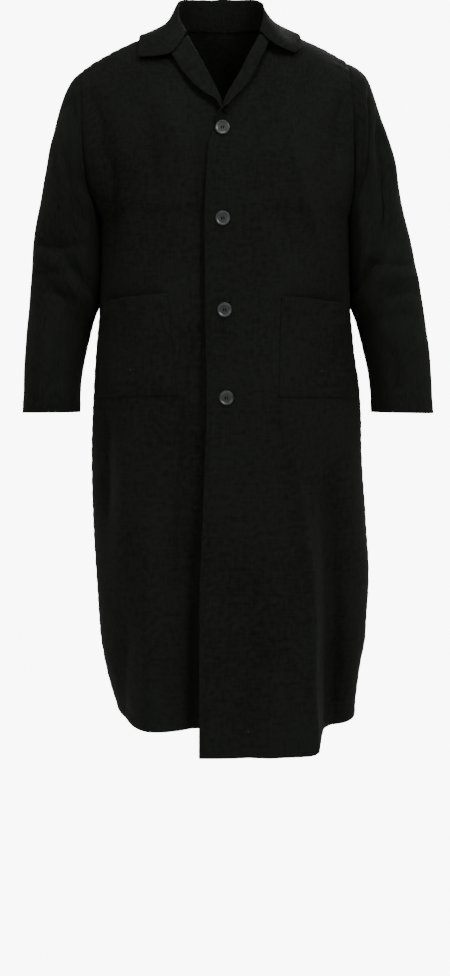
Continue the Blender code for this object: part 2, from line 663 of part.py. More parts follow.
def lifted(side, face, lift):
    """A point of the body moved straight out from it."""
    if face == FRONT:
        across, rise = lift.across, lift.rise
        place = front_surface(side, across, rise)
        beside = front_surface(side, across + 0.02, rise) - front_surface(side, max(across - 0.02, 0), rise)
        upward = place - front_surface(side, across, rise - 0.02)
        normal = unit(np.cross(beside, upward)) * side
    else:
        across, rise = side * lift.across, lift.rise
        place = back_surface(across, rise)
        beside = back_surface(across + 0.02, rise) - back_surface(across - 0.02, rise)
        upward = place - back_surface(across, rise - 0.02)
        normal = -unit(np.cross(beside, upward))
    return place + normal * lift.up


def collar_points(neck, spans):
    """The collar from its neck seam over the roll to the edge of its fall."""
    places = [station.span for station in COLLAR]
    sides = [LEFT if station.span < 2 else RIGHT for station in COLLAR]
    lines = {
        "roll": np.array([station.roll for station in COLLAR]),
        "middle": np.array([lifted(side, row.face, row.middle) for side, row in zip(sides, COLLAR)]),
        "edge": np.array([lifted(side, row.face, row.edge) for side, row in zip(sides, COLLAR)]),
    }
    placed = {name: np.stack([curve(places, line[:, axis], spans) for axis in range(3)], -1)
              for name, line in lines.items()}
    control = [neck, placed["roll"], placed["middle"], placed["edge"]]
    return np.stack([through(control, place) for place in COLLAR_PLACES], 0)


def panel_place(side, x, z):
    """The place across and the rise of a front at a spot seen from the front, below the underarm."""
    base_x = column(OPENING, "over_x" if side == RIGHT else "under_x", z)
    first = turn_at(side, FRONT, base_x, z)
    across = (turn_at(side, FRONT, x, z) - first) / (1 - first)
    hem = column(HEM, "over" if side == RIGHT else "under", across)
    return across, (z - UNDERARM_Z) / (UNDERARM_Z - hem)


def on_grid(grid, row, place):
    """A grid read between its points."""
    low_row = np.clip(np.floor(row).astype(int), 0, grid.shape[0] - 2)
    low_place = np.clip(np.floor(place).astype(int), 0, grid.shape[1] - 2)
    up = (row - low_row)[..., None]
    over = (place - low_place)[..., None]
    bottom = blend(grid[low_row, low_place], grid[low_row, low_place + 1], over)
    top = blend(grid[low_row + 1, low_place], grid[low_row + 1, low_place + 1], over)
    return blend(bottom, top, up)


def patch(side, pocket, front):
    """A pocket: points of the front between its corners, moved out clear of the cloth."""
    share = np.linspace(0, 1, POCKET_CELLS + 1)
    across, down = share[None, :], share[:, None]
    spots = {}
    for axis in ("x", "z"):
        top = blend(getattr(pocket.inner_top, axis), getattr(pocket.outer_top, axis), across)
        bottom = blend(getattr(pocket.inner_bottom, axis), getattr(pocket.outer_bottom, axis), across)
        spots[axis] = blend(bottom, top, down)
    place, rise = panel_place(side, spots["x"], spots["z"])
    points, normals, _ = front
    row = (1 + rise) * LOWER_ROWS
    column_place = FLAP_COLUMNS + place * FRONT_COLUMNS
    normal = unit(on_grid(normals, row, column_place))
    return on_grid(points, row, column_place) + normal * (CLOTH + POCKET_CLEARANCE), normal


def button_mesh(name):
    """A turned button with a rounded edge and a dished face, its back on the local zero plane."""
    edge = BUTTON_EDGE
    face = BUTTON_THICKNESS
    profile = (
        (BUTTON_RADIUS - edge, 0.0), (BUTTON_RADIUS, edge), (BUTTON_RADIUS, face - edge * 2),
        (BUTTON_RADIUS - edge * 2, face), (BUTTON_DISH_RADIUS, face),
        (BUTTON_DISH_RADIUS - edge * 2, face - BUTTON_DISH_DEPTH),
    )
    points = []
    for radius, height in profile:
        for turn in range(BUTTON_SIDES):
            angle = 2 * math.pi * turn / BUTTON_SIDES
            points.append((radius * math.cos(angle), radius * math.sin(angle), height))
    faces = [list(range(BUTTON_SIDES))[::-1]]
    for ring in range(len(profile) - 1):
        for turn in range(BUTTON_SIDES):
            after = (turn + 1) % BUTTON_SIDES
            faces.append([ring * BUTTON_SIDES + turn, ring * BUTTON_SIDES + after,
                          (ring + 1) * BUTTON_SIDES + after, (ring + 1) * BUTTON_SIDES + turn])
    faces.append([(len(profile) - 1) * BUTTON_SIDES + turn for turn in range(BUTTON_SIDES)])
    mesh = bpy.data.meshes.new(name)
    mesh.from_pydata(points, [], faces)
    mesh.update()
    return mesh


def button_place(place):
    """Where a button's back lies on the over front, and the way it faces."""
    turn = turn_at(RIGHT, FRONT, place.x, place.z)
    if place.z < UNDERARM_Z:
        point = front_low(RIGHT, turn, np.array(place.z))
        step = 0.01
        above = front_low(RIGHT, turn, np.array(place.z + step))
        upward = above - front_low(RIGHT, turn, np.array(place.z - step))
    else:
        share = (place.z - UNDERARM_Z) / (NECK_POINT_Z - UNDERARM_Z)
        rise = math.asin(share) * 2 / math.pi
        point = front_surface(RIGHT, 0.0, rise)
        point = point + np.array([place.x - point[0], 0.0, place.z - point[2]])
        upward = front_surface(RIGHT, 0.0, rise + 0.02) - front_surface(RIGHT, 0.0, rise - 0.02)
    normal = unit(np.cross(np.array([1.0, 0.0, 0.0]), upward))
    return point + normal * (CLOTH / 2 + BUTTON_CLEARANCE), normal


def plain_material(name, colour, roughness):
    material = bpy.data.materials.new(name)
    material.use_nodes = True
    shader = material.node_tree.nodes["Principled BSDF"]
    shader.inputs["Base Color"].default_value = colour
    shader.inputs["Roughness"].default_value = roughness
    shader.inputs["Metallic"].default_value = 0.0
    material.diffuse_color = colour
    return material


def place_object(name, mesh, material):
    mesh.materials.append(material)
    mesh.shade_smooth()
    piece = bpy.data.objects.new(name, mesh)
    bpy.context.collection.objects.link(piece)
    return piece


def upright_normals(points):
    """Normals of a shoulder seam: upright to it, with no lean to front or back."""
    run = np.gradient(points, axis=0)
    upright = np.stack([-run[:, 2], np.zeros(len(run)), run[:, 0]], -1)
    return unit(upright * np.sign(run[:, :1]))


def move_in(edge, neighbour):
    """Moves an edge of a grid back from its seam by half the gap."""
    return edge + unit(neighbour - edge) * SEAM_GAP / 2


def build_coat():
    cloth = plain_material("black_canvas", CLOTH_COLOUR, 0.92)
    button = plain_material("grey_button", BUTTON_COLOUR, 0.45)
    fronts = {side: front_panel(side) for side in (LEFT, RIGHT)}
    back = back_surface(back_across()[None, :], rises()[:, None])
    back_normals = grid_normals(back, -1)
    join_shoulders(fronts, back, back_normals)
    sleeves = {side: join_side(side, fronts[side], back, back_normals) for side in (LEFT, RIGHT)}
    collar, collar_normals = join_collar(fronts, back, back_normals)
    open_seams(fronts, back, sleeves, collar)
    for side in (LEFT, RIGHT):
        points, normals, present = fronts[side]
        place_object(panel_name(side), wall(panel_name(side), points, normals, side, present), cloth)
        rings, ring_normals = sleeves[side]
        name = "sleeve_left" if side == RIGHT else "sleeve_right"
        place_object(name, wall(name, rings, ring_normals, -side, closed=True), cloth)
    place_object("back", wall("back", back, back_normals, -1), cloth)
    place_object("collar", wall("collar", collar, collar_normals, COLLAR_FACING), cloth)
    for name, pocket in POCKETS.items():
        points, normals = patch(pocket.side, pocket, fronts[pocket.side])
        place_object(name, wall(name, points, normals, pocket.side), cloth)
    for number, place in enumerate(BUTTON_PLACES, 1):
        piece = place_object(f"button_{number}", button_mesh(f"button_{number}"), button)
        point, normal = button_place(place)
        piece.location = point
        piece.rotation_euler = (math.atan2(-normal[1], normal[2]), 0.0, 0.0)


def join_shoulders(fronts, back, back_normals):
    """Shares the normals of the shoulder seams between the fronts and the back."""
    neck_columns, shoulder_columns = BACK_HALF_COLUMNS
    middle = neck_columns + shoulder_columns
    for side in (LEFT, RIGHT):
        points, normals, _ = fronts[side]
        normals[-1, FLAP_COLUMNS:] = upright_normals(points[-1, FLAP_COLUMNS:])
        columns = middle + side * np.arange(neck_columns, middle + 1)
        back_normals[-1, columns] = upright_normals(back[-1, columns])


def join_side(side, front, back, back_normals):
    """Joins a front, the back and a sleeve along the side seam and round the armhole."""
    points, normals, _ = front
    edge = 0 if side == LEFT else back.shape[1] - 1
    shared = unit(normals[:, -1] + back_normals[:, edge])
    back[:, edge] = np.where((rises() <= 0)[:, None], points[:, -1], back[:, edge])
    loop, turns = armhole_loop(points[LOWER_ROWS:, -1], back[LOWER_ROWS:, edge])
    stations = np.linspace(0, 1, SLEEVE_RINGS + 1)
    rings = np.stack([sleeve_points(side, loop, turns, along) for along in stations], 0)
    ring_normals = grid_normals(rings, -side, closed=True)
    front_edge = normals[LOWER_ROWS:, -1].copy()
    front_edge[0] = shared[LOWER_ROWS]
    back_edge = back_normals[LOWER_ROWS:, edge][::-1][1:-1]
    body = np.concatenate([front_edge, back_edge])
    # Under the arm the sleeve's wall faces the body's, so there it starts beside it
    agree = np.clip(0.5 + np.sum(body * ring_normals[0], -1), 0, 1)[:, None]
    seam = unit(body + ring_normals[0] * agree)
    rings[0] += body * (1 - agree) * (CLOTH + SEAM_GAP)
    ring_normals[0] = unit(ring_normals[0] + body * agree)
    normals[:LOWER_ROWS, -1] = shared[:LOWER_ROWS]
    back_normals[:LOWER_ROWS, edge] = shared[:LOWER_ROWS]
    normals[LOWER_ROWS:, -1] = seam[:UPPER_ROWS + 1]
    back_normals[LOWER_ROWS, edge] = seam[0]
    back_normals[LOWER_ROWS + 1:, edge] = seam[UPPER_ROWS:][::-1]
    return rings, ring_normals


def join_collar(fronts, back, back_normals):
    """The collar's grid and normals, and the seam normals that it shares round the neck."""
    neck_columns, shoulder_columns = BACK_HALF_COLUMNS
    middle = neck_columns + shoulder_columns
    inner = np.arange(middle - neck_columns + 1, middle + neck_columns)
    left_points, left_normals, _ = fronts[LEFT]
    right_points, right_normals, _ = fronts[RIGHT]
    left = left_points[GORGE:, FLAP_COLUMNS]
    right = right_points[GORGE:, FLAP_COLUMNS][::-1]
    neck = np.concatenate([left, back[-1, inner], right])
    front_spans = np.linspace(0, 1, len(left))
    back_spans = 2 + 1.0 * back_across()[inner] / BACK_NECK_SHARE
    spans = np.concatenate([front_spans, back_spans, 3 + front_spans])
    grid = collar_points(neck, spans)
    normals = grid_normals(grid, COLLAR_FACING)
    body = np.concatenate([left_normals[GORGE:, FLAP_COLUMNS], back_normals[-1, inner],
                           right_normals[GORGE:, FLAP_COLUMNS][::-1]])
    seam = unit(body - normals[0] * COLLAR_FACING)
    normals[0] = -seam * COLLAR_FACING
    count = len(left)
    left_normals[GORGE + 1:, FLAP_COLUMNS] = seam[1:count]
    right_normals[GORGE + 1:, FLAP_COLUMNS] = seam[-count:-1][::-1]
    back_normals[-1, inner] = seam[count:-count]
    back_normals[-1, middle - neck_columns] = seam[count - 1]
    back_normals[-1, middle + neck_columns] = seam[-count]
    return grid, normals


def open_seams(fronts, back, sleeves, collar):
    """Draws every edge that is sewn to another piece back by half of the seam's gap."""
    for side in (LEFT, RIGHT):
        points, _, _ = fronts[side]
        points[:, -1] = move_in(points[:, -1], points[:, -2])
        points[-1, FLAP_COLUMNS:] = move_in(points[-1, FLAP_COLUMNS:], points[-2, FLAP_COLUMNS:])
        edge = points[GORGE:, FLAP_COLUMNS]
        points[GORGE:, FLAP_COLUMNS] = move_in(edge, points[GORGE:, FLAP_COLUMNS + 1])
        rings, _ = sleeves[side]
        rings[0] = move_in(rings[0], rings[1])
    back[:, 0] = move_in(back[:, 0], back[:, 1])
    back[:, -1] = move_in(back[:, -1], back[:, -2])
    back[-1] = move_in(back[-1], back[-2])
    collar[0] = move_in(collar[0], collar[1])
    ends = [0, -1]
    collar[0, ends] += unit(collar[1, ends] - collar[0, ends]) * CLOTH


def clear_scene():
    for piece in list(bpy.data.objects):
        bpy.data.objects.remove(piece, do_unlink=True)


clear_scene()
build_coat()
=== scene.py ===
"""The looks of a long worn duster coat of black cotton canvas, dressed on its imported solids.

Metres, +Z up, +X towards the wearer's left, the coat's front towards -Y. Every cloth piece is a thin
shell on the form of its solid, with the creases, seams, hems and stitches that the real piece has.
"""

from __future__ import annotations

import logging
import math
from dataclasses import dataclass, field, fields
from enum import Enum
from typing import Sequence

import bpy
import numpy as np
from mathutils import Matrix, Vector
from mathutils.bvhtree import BVHTree

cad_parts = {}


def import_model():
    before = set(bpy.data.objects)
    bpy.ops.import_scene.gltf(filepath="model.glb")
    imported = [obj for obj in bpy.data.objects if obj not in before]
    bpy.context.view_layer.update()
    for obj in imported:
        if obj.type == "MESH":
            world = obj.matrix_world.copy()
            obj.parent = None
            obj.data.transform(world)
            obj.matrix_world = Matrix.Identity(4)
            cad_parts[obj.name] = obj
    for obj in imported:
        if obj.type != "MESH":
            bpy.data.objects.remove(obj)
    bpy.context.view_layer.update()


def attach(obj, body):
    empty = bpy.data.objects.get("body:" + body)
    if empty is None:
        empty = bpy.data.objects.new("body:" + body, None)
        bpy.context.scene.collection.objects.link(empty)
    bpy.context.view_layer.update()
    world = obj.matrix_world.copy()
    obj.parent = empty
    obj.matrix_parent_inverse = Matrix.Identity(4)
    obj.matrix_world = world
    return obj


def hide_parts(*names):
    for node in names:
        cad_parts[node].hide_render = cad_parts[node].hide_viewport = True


LOG = logging.getLogger("duster_coat")
Array = np.ndarray


class Side(Enum):
    """Sides as the photograph shows them: the coat's own left front is on the RIGHT."""

    LEFT = -1
    RIGHT = 1


class Face(Enum):
    """The half of the coat that a form or crease lies on."""

    FRONT = -1
    BACK = 1


# Plain curves and vectors


def curve(places: Sequence[float], values: Sequence[float], at: Array) -> Array:
    """A smooth curve through the points of a table, level where its values turn.

    Args:
        places: Rising places of the table's rows.
        values: One value for each place.
        at: Places to read the curve at.

    Returns:
        The curve's value at each place.
    """
    places = np.asarray(places, float)
    values = np.asarray(values, float)
    at = np.clip(np.asarray(at, float), places[0], places[-1])
    steps = np.diff(places)
    slopes = np.diff(values) / steps
    tangents = np.zeros(len(places))
    tangents[0] = slopes[0]
    tangents[-1] = slopes[-1]
    # Inner tangents are the harmonic mean of the slopes beside them
    same_way = slopes[:-1] * slopes[1:] > 0
    first = np.where(same_way, slopes[:-1], 1.0)
    second = np.where(same_way, slopes[1:], 1.0)
    tangents[1:-1] = np.where(same_way, 2 * first * second / (first + second), 0.0)
    cell = np.clip(np.searchsorted(places, at, side="right") - 1, 0, len(places) - 2)
    step = steps[cell]
    share = (at - places[cell]) / step
    start = (1 + 2 * share) * (1 - share) ** 2 * values[cell]
    end = share ** 2 * (3 - 2 * share) * values[cell + 1]
    lead = share * (1 - share) ** 2 * step * tangents[cell]
    trail = share ** 2 * (share - 1) * step * tangents[cell + 1]
    return start + end + lead + trail


def column(table: Sequence[object], name: str, at: Array) -> Array:
    """One named column of a table, read at places in its first column."""
    key = fields(table[0])[0].name
    return curve([getattr(row, key) for row in table], [getattr(row, name) for row in table], at)


def ease(share: Array) -> Array:
    """A share from 0 to 1 that starts and ends softly."""
    share = np.clip(share, 0.0, 1.0)
    return share * share * (3 - 2 * share)


def blend(first: Array, second: Array, share: Array) -> Array:
    """The value at a share of the way from the first to the second."""
    return first + (second - first) * share


def unit(vectors: Array) -> Array:
    """Vectors scaled to length one."""
    return vectors / np.maximum(np.linalg.norm(vectors, axis=-1, keepdims=True), 1e-12)


def signed_power(value: Array, power: float) -> Array:
    """A power that keeps its value's sign."""
    return np.sign(value) * np.abs(value) ** power


def through(points: Sequence[Array], place: float) -> Array:
    """A smooth line through points, read at a place counted in points."""
    count = len(points)
    cell = min(int(place), count - 2)
    share = place - cell
    first = points[max(cell - 1, 0)]
    second = points[cell]
    third = points[cell + 1]
    fourth = points[min(cell + 2, count - 1)]
    lead = (third - first) / 2
    trail = (fourth - second) / 2
    return ((1 + 2 * share) * (1 - share) ** 2 * second + share ** 2 * (3 - 2 * share) * third
            + share * (1 - share) ** 2 * lead + share ** 2 * (share - 1) * trail)


# Meshes


def add_object(name: str, mesh: bpy.types.Mesh) -> bpy.types.Object:
    """A new object of the scene with a mesh."""
    piece = bpy.data.objects.new(name, mesh)
    bpy.context.collection.objects.link(piece)
    return piece


def add_mesh(name: str, points: Sequence, faces: Sequence, edges: Sequence = ()) -> bpy.types.Object:
    """A new object from points and faces, or from points and edges."""
    mesh = bpy.data.meshes.new(name)
    mesh.from_pydata(points, list(edges), faces)
    mesh.update()
    return add_object(name, mesh)


def dress(mesh: bpy.types.Mesh, material: bpy.types.Material) -> None:
    """Gives a mesh its material and smooth shading."""
    mesh.materials.append(material)
    mesh.shade_smooth()


def settle(piece: bpy.types.Object, name: str) -> bpy.types.Mesh:
    """The plain mesh that a piece's modifiers make."""
    graph = bpy.context.evaluated_depsgraph_get()
    graph.update()
    mesh = bpy.data.meshes.new_from_object(piece.evaluated_get(graph))
    mesh.name = name
    return mesh


def circle(radius: float, height: float, sides: int, centre: Sequence[float] = (0.0, 0.0)) -> list[tuple]:
    """A level ring of points."""
    angles = [2 * math.pi * turn / sides for turn in range(sides)]
    return [(centre[0] + radius * math.cos(angle), centre[1] + radius * math.sin(angle), height)
            for angle in angles]


def tube_faces(first: int, rings: int, sides: int) -> list[list[int]]:
    """The wall and both caps of a tube whose points are rings, from its first point's number."""
    faces = []
    for start in range(first, first + (rings - 1) * sides, sides):
        for turn in range(sides):
            after = (turn + 1) % sides
            faces.append([start + turn, start + after, start + sides + after, start + sides + turn])
    last = first + (rings - 1) * sides
    return faces + [list(range(first, first + sides))[::-1], list(range(last, last + sides))]


# The worn form, as the solids have it


@dataclass(frozen=True)
class Section:
    """Half widths to each side and depths of the body at a height."""

    z: float
    left: float
    right: float
    front: float
    back: float


@dataclass(frozen=True)
class Hem:
    """Hem heights from the opening (0) to the side seam (1)."""

    place: float
    over: float
    under: float
    back_left: float
    back_right: float


@dataclass(frozen=True)
class Opening:
    """Where each front's roll line stands below the underarm, and the cloth past it."""

    z: float
    over_x: float
    under_x: float
    over_flap: float
    under_flap: float


@dataclass(frozen=True)
class Roll:
    """The roll line and neck seam above the underarm (0) up to the shoulder seam (1)."""

    rise: float
    x: float
    y: float
    flap: float
    angle: float
    slant: float


@dataclass(frozen=True)
class Pair:
    """A value for each side of the coat at a share."""

    share: float
    left: float
    right: float


@dataclass(frozen=True)
class Crest:
    """A point of a fold: its height, its place across and how far it stands out."""

    z: float
    x: float
    out: float


@dataclass(frozen=True)
class Fold:
    """A large soft fold of one panel."""

    panel: str
    inner_width: float
    outer_width: float
    path: tuple[Crest, ...]


@dataclass(frozen=True)
class SleeveStation:
    """Top line, under line, centre and half depth of a sleeve at a share along it."""

    along: float
    top_x: float
    top_z: float
    under_x: float
    under_z: float
    centre_y: float
    depth: float


@dataclass(frozen=True)
class SleeveCrease:
    """A crease round part of a sleeve, as its solid has it."""

    side: Side
    along: float
    turn: float
    spread: float
    width: float
    slope: float
    out: float


@dataclass(frozen=True)
class Lift:
    """A place on the body and how far above it the cloth stands."""

    across: float
    rise: float
    up: float


@dataclass(frozen=True)
class CollarStation:
    """The collar's roll line and the middle and edge of its fall at a span round the neck."""

    span: float
    roll: tuple[float, float, float]
    face: Face
    middle: Lift
    edge: Lift


def _rows(kind: type, *rows: tuple) -> tuple:
    """Rows of a table from plain numbers."""
    return tuple(kind(*row) for row in rows)


@dataclass(frozen=True)
class GridSize:
    """How finely each piece is divided."""

    lower_rows: int = 210
    upper_rows: int = 70
    gorge_row: int = 50
    front_columns: int = 72
    flap_columns: int = 15
    flap_bend_columns: int = 9
    back_neck_columns: int = 16
    back_shoulder_columns: int = 40
    sleeve_rings: int = 130
    collar_places: int = 42
    pocket_cells: int = 44

    @property
    def gorge(self) -> int:
        """The row of the gorge, where the collar ends."""
        return self.lower_rows + self.gorge_row


@dataclass(frozen=True)
class BodyForm:
    """The worn form that every piece lies on, with the sizes that its solids have."""

    cloth: float = 0.0018
    lap_depth: float = 0.0045
    underarm_z: float = -0.330
    neck_point_z: float = 0.0
    seam_y: float = 0.008
    front_power: float = 2.3
    back_power: float = 2.15
    shoulder_power: float = 2.5
    armhole_depth: float = 0.072
    roll_radius: float = 0.0032
    sleeve_power: float = 2.2
    back_neck_share: float = 0.34
    back_neck_centre: tuple[float, float, float] = (-0.009, 0.074, 0.010)
    sections: tuple[Section, ...] = _rows(
        Section,
        (-1.24, 0.181, 0.226, 0.19, 0.17), (-1.177, 0.188, 0.229, 0.187, 0.17),
        (-1.151, 0.196, 0.232, 0.185, 0.169), (-1.098, 0.21, 0.239, 0.181, 0.168),
        (-1.046, 0.219, 0.247, 0.178, 0.166), (-0.941, 0.226, 0.251, 0.171, 0.161),
        (-0.835, 0.231, 0.246, 0.165, 0.156), (-0.73, 0.233, 0.237, 0.16, 0.151),
        (-0.625, 0.228, 0.233, 0.157, 0.145), (-0.546, 0.222, 0.223, 0.154, 0.138),
        (-0.467, 0.217, 0.216, 0.152, 0.133), (-0.4, 0.217, 0.215, 0.151, 0.135),
        (-0.33, 0.219, 0.217, 0.15, 0.14))
    hem: tuple[Hem, ...] = _rows(
        Hem,
        (0.0, -1.231, -1.19, -1.184, -1.184), (0.38, -1.229, -1.191, -1.186, -1.186),
        (0.5, -1.206, -1.191, -1.184, -1.187), (0.65, -1.2, -1.188, -1.181, -1.188),
        (1.0, -1.188, -1.178, -1.178, -1.188))
    opening: tuple[Opening, ...] = _rows(
        Opening,
        (-1.24, -0.0125, -0.006, 0.03, 0.032), (-1.0, -0.012, -0.006, 0.03, 0.032),
        (-0.85, -0.007, -0.005, 0.03, 0.032), (-0.72, -0.002, -0.005, 0.03, 0.032),
        (-0.64, 0.0005, -0.005, 0.03, 0.032), (-0.5, -0.002, -0.005, 0.03, 0.032),
        (-0.33, -0.003, -0.005, 0.03, 0.032))
    over_roll: tuple[Roll, ...] = _rows(
        Roll,
        (0.0, -0.003, -0.15, 0.03, 0, 0.0), (0.214, -0.003, -0.1425, 0.024, 0, 0.0),
        (0.286, -0.003, -0.136, 0.012, 0, 0.0), (0.357, 0.001, -0.1285, 0.02, 150, 0.0),
        (0.429, 0.016, -0.118, 0.028, 165, 0.0), (0.5, 0.031, -0.1075, 0.03, 168, 0.0),
        (0.571, 0.0415, -0.093, 0.03, 168, 0.0), (0.643, 0.052, -0.077, 0.029, 168, 0.0),
        (0.714, 0.06, -0.06, 0.028, 168, 0.0), (0.786, 0.0665, -0.043, 0.028, 168, 0.0),
        (0.857, 0.0705, -0.026, 0.028, 168, 0.0), (1.0, 0.072, 0.008, 0.028, 168, 0.0))
    under_roll: tuple[Roll, ...] = _rows(
        Roll,
        (0.0, -0.005, -0.15, 0.032, 0, 0.0), (0.214, -0.005, -0.1425, 0.03, 0, 0.0),
        (0.286, -0.006, -0.136, 0.016, 0, 0.0), (0.357, -0.0085, -0.1285, 0.014, 130, 0.005),
        (0.429, -0.02, -0.118, 0.03, 165, 0.01), (0.5, -0.0335, -0.1075, 0.042, 170, 0.012),
        (0.571, -0.046, -0.093, 0.048, 172, 0.014), (0.643, -0.057, -0.077, 0.05, 172, 0.018),
        (0.714, -0.066, -0.06, 0.05, 172, 0.028), (0.786, -0.0765, -0.043, 0.05, 172, 0.028),
        (0.857, -0.0845, -0.026, 0.05, 172, 0.028), (1.0, -0.09, 0.008, 0.05, 172, 0.028))
    armhole: tuple[Pair, ...] = _rows(
        Pair, (0.0, 0.219, 0.217), (0.22, 0.234, 0.219), (0.6, 0.242, 0.218), (1.0, 0.246, 0.21))
    shoulder: tuple[Pair, ...] = _rows(
        Pair, (0.0, 0.0, 0.0), (0.2, -0.014, -0.01), (0.45, -0.03, -0.024),
        (0.75, -0.052, -0.043), (1.0, -0.075, -0.061))
    folds: tuple[Fold, ...] = (
        Fold("front_left", 0.05, 0.016, _rows(
            Crest, (-1.24, 0.136, 0.018), (-1.088, 0.137, 0.016), (-0.987, 0.137, 0.014),
            (-0.835, 0.121, 0.011), (-0.722, 0.106, 0.008), (-0.614, 0.085, 0.005), (-0.48, 0.062, 0.0))),
        Fold("front_left", 0.02, 0.03, _rows(
            Crest, (-1.24, 0.182, -0.032), (-1.088, 0.184, -0.027), (-0.94, 0.184, -0.019),
            (-0.78, 0.172, -0.01), (-0.62, 0.15, 0.0))),
        Fold("front_left", 0.04, 0.03, _rows(
            Crest, (-0.48, 0.184, 0.0), (-0.4, 0.165, 0.005), (-0.3, 0.128, 0.006),
            (-0.194, 0.104, 0.004), (-0.1, 0.1, 0.0))),
        Fold("front_right", 0.1, 0.03, _rows(
            Crest, (-1.24, -0.048, -0.036), (-1.1, -0.05, -0.033), (-0.95, -0.048, -0.026),
            (-0.8, -0.044, -0.016), (-0.66, -0.04, -0.006), (-0.56, -0.04, 0.0))),
        Fold("front_right", 0.04, 0.04, _rows(
            Crest, (-1.24, -0.122, 0.01), (-1.05, -0.125, 0.01), (-0.85, -0.125, 0.006),
            (-0.65, -0.12, 0.0))),
        Fold("front_right", 0.02, 0.02, _rows(
            Crest, (-0.95, -0.205, 0.0), (-0.8, -0.203, -0.009), (-0.68, -0.2, -0.009),
            (-0.6, -0.2, 0.0))),
        Fold("front_right", 0.03, 0.03, _rows(
            Crest, (-0.42, -0.075, 0.0), (-0.3, -0.078, 0.005), (-0.2, -0.092, 0.005),
            (-0.1, -0.105, 0.0))),
        Fold("back", 0.045, 0.04, _rows(
            Crest, (-1.24, -0.105, 0.014), (-1.0, -0.1, 0.012), (-0.75, -0.085, 0.006),
            (-0.52, -0.07, 0.0))),
        Fold("back", 0.04, 0.05, _rows(
            Crest, (-1.24, 0.085, 0.016), (-1.02, 0.078, 0.013), (-0.8, 0.066, 0.007),
            (-0.56, 0.055, 0.0))),
        Fold("back", 0.05, 0.05, _rows(
            Crest, (-1.24, -0.01, -0.014), (-1.0, -0.01, -0.01), (-0.7, -0.008, -0.004),
            (-0.48, 0.0, 0.0))))
    left_sleeve: tuple[SleeveStation, ...] = _rows(
        SleeveStation,
        (0.0, 0.246, -0.075, 0.219, -0.33, 0.0, 0.072),
        (0.07, 0.266, -0.096, 0.225, -0.346, 0.0, 0.079),
        (0.16, 0.284, -0.138, 0.226, -0.372, 0.002, 0.083),
        (0.3, 0.302, -0.208, 0.226, -0.412, 0.004, 0.083),
        (0.45, 0.319, -0.292, 0.2265, -0.456, 0.004, 0.08),
        (0.6, 0.333, -0.372, 0.232, -0.503, 0.0, 0.076),
        (0.75, 0.338, -0.47, 0.242, -0.556, -0.01, 0.072),
        (0.88, 0.346, -0.572, 0.25, -0.612, -0.02, 0.067),
        (1.0, 0.347, -0.663, 0.2515, -0.662, -0.027, 0.062))
    right_sleeve: tuple[SleeveStation, ...] = _rows(
        SleeveStation,
        (0.0, 0.21, -0.061, 0.217, -0.33, 0.0, 0.072),
        (0.07, 0.24, -0.084, 0.223, -0.346, 0.0, 0.08),
        (0.16, 0.264, -0.136, 0.224, -0.372, 0.002, 0.084),
        (0.3, 0.286, -0.208, 0.224, -0.412, 0.004, 0.084),
        (0.45, 0.305, -0.293, 0.2247, -0.456, 0.004, 0.081),
        (0.6, 0.322, -0.372, 0.231, -0.503, 0.0, 0.077),
        (0.75, 0.339, -0.468, 0.243, -0.556, -0.01, 0.073),
        (0.88, 0.352, -0.572, 0.2525, -0.612, -0.02, 0.068),
        (1.0, 0.358, -0.664, 0.255, -0.662, -0.027, 0.063))
    sleeve_creases: tuple[SleeveCrease, ...] = _rows(
        SleeveCrease,
        (Side.LEFT, 0.5, -2.0, 0.9, 0.045, 0.03, -0.006), (Side.LEFT, 0.58, -1.8, 1.0, 0.035, 0.03, 0.006),
        (Side.LEFT, 0.65, -1.7, 0.9, 0.03, 0.02, -0.005), (Side.LEFT, 0.22, -1.2, 0.7, 0.06, -0.08, -0.006),
        (Side.RIGHT, 0.48, -2.1, 0.9, 0.045, 0.04, -0.007), (Side.RIGHT, 0.57, -1.8, 1.0, 0.035, 0.03, 0.006),
        (Side.RIGHT, 0.66, -1.7, 0.9, 0.03, 0.02, -0.005), (Side.RIGHT, 0.24, -1.0, 0.6, 0.07, -0.1, -0.008))
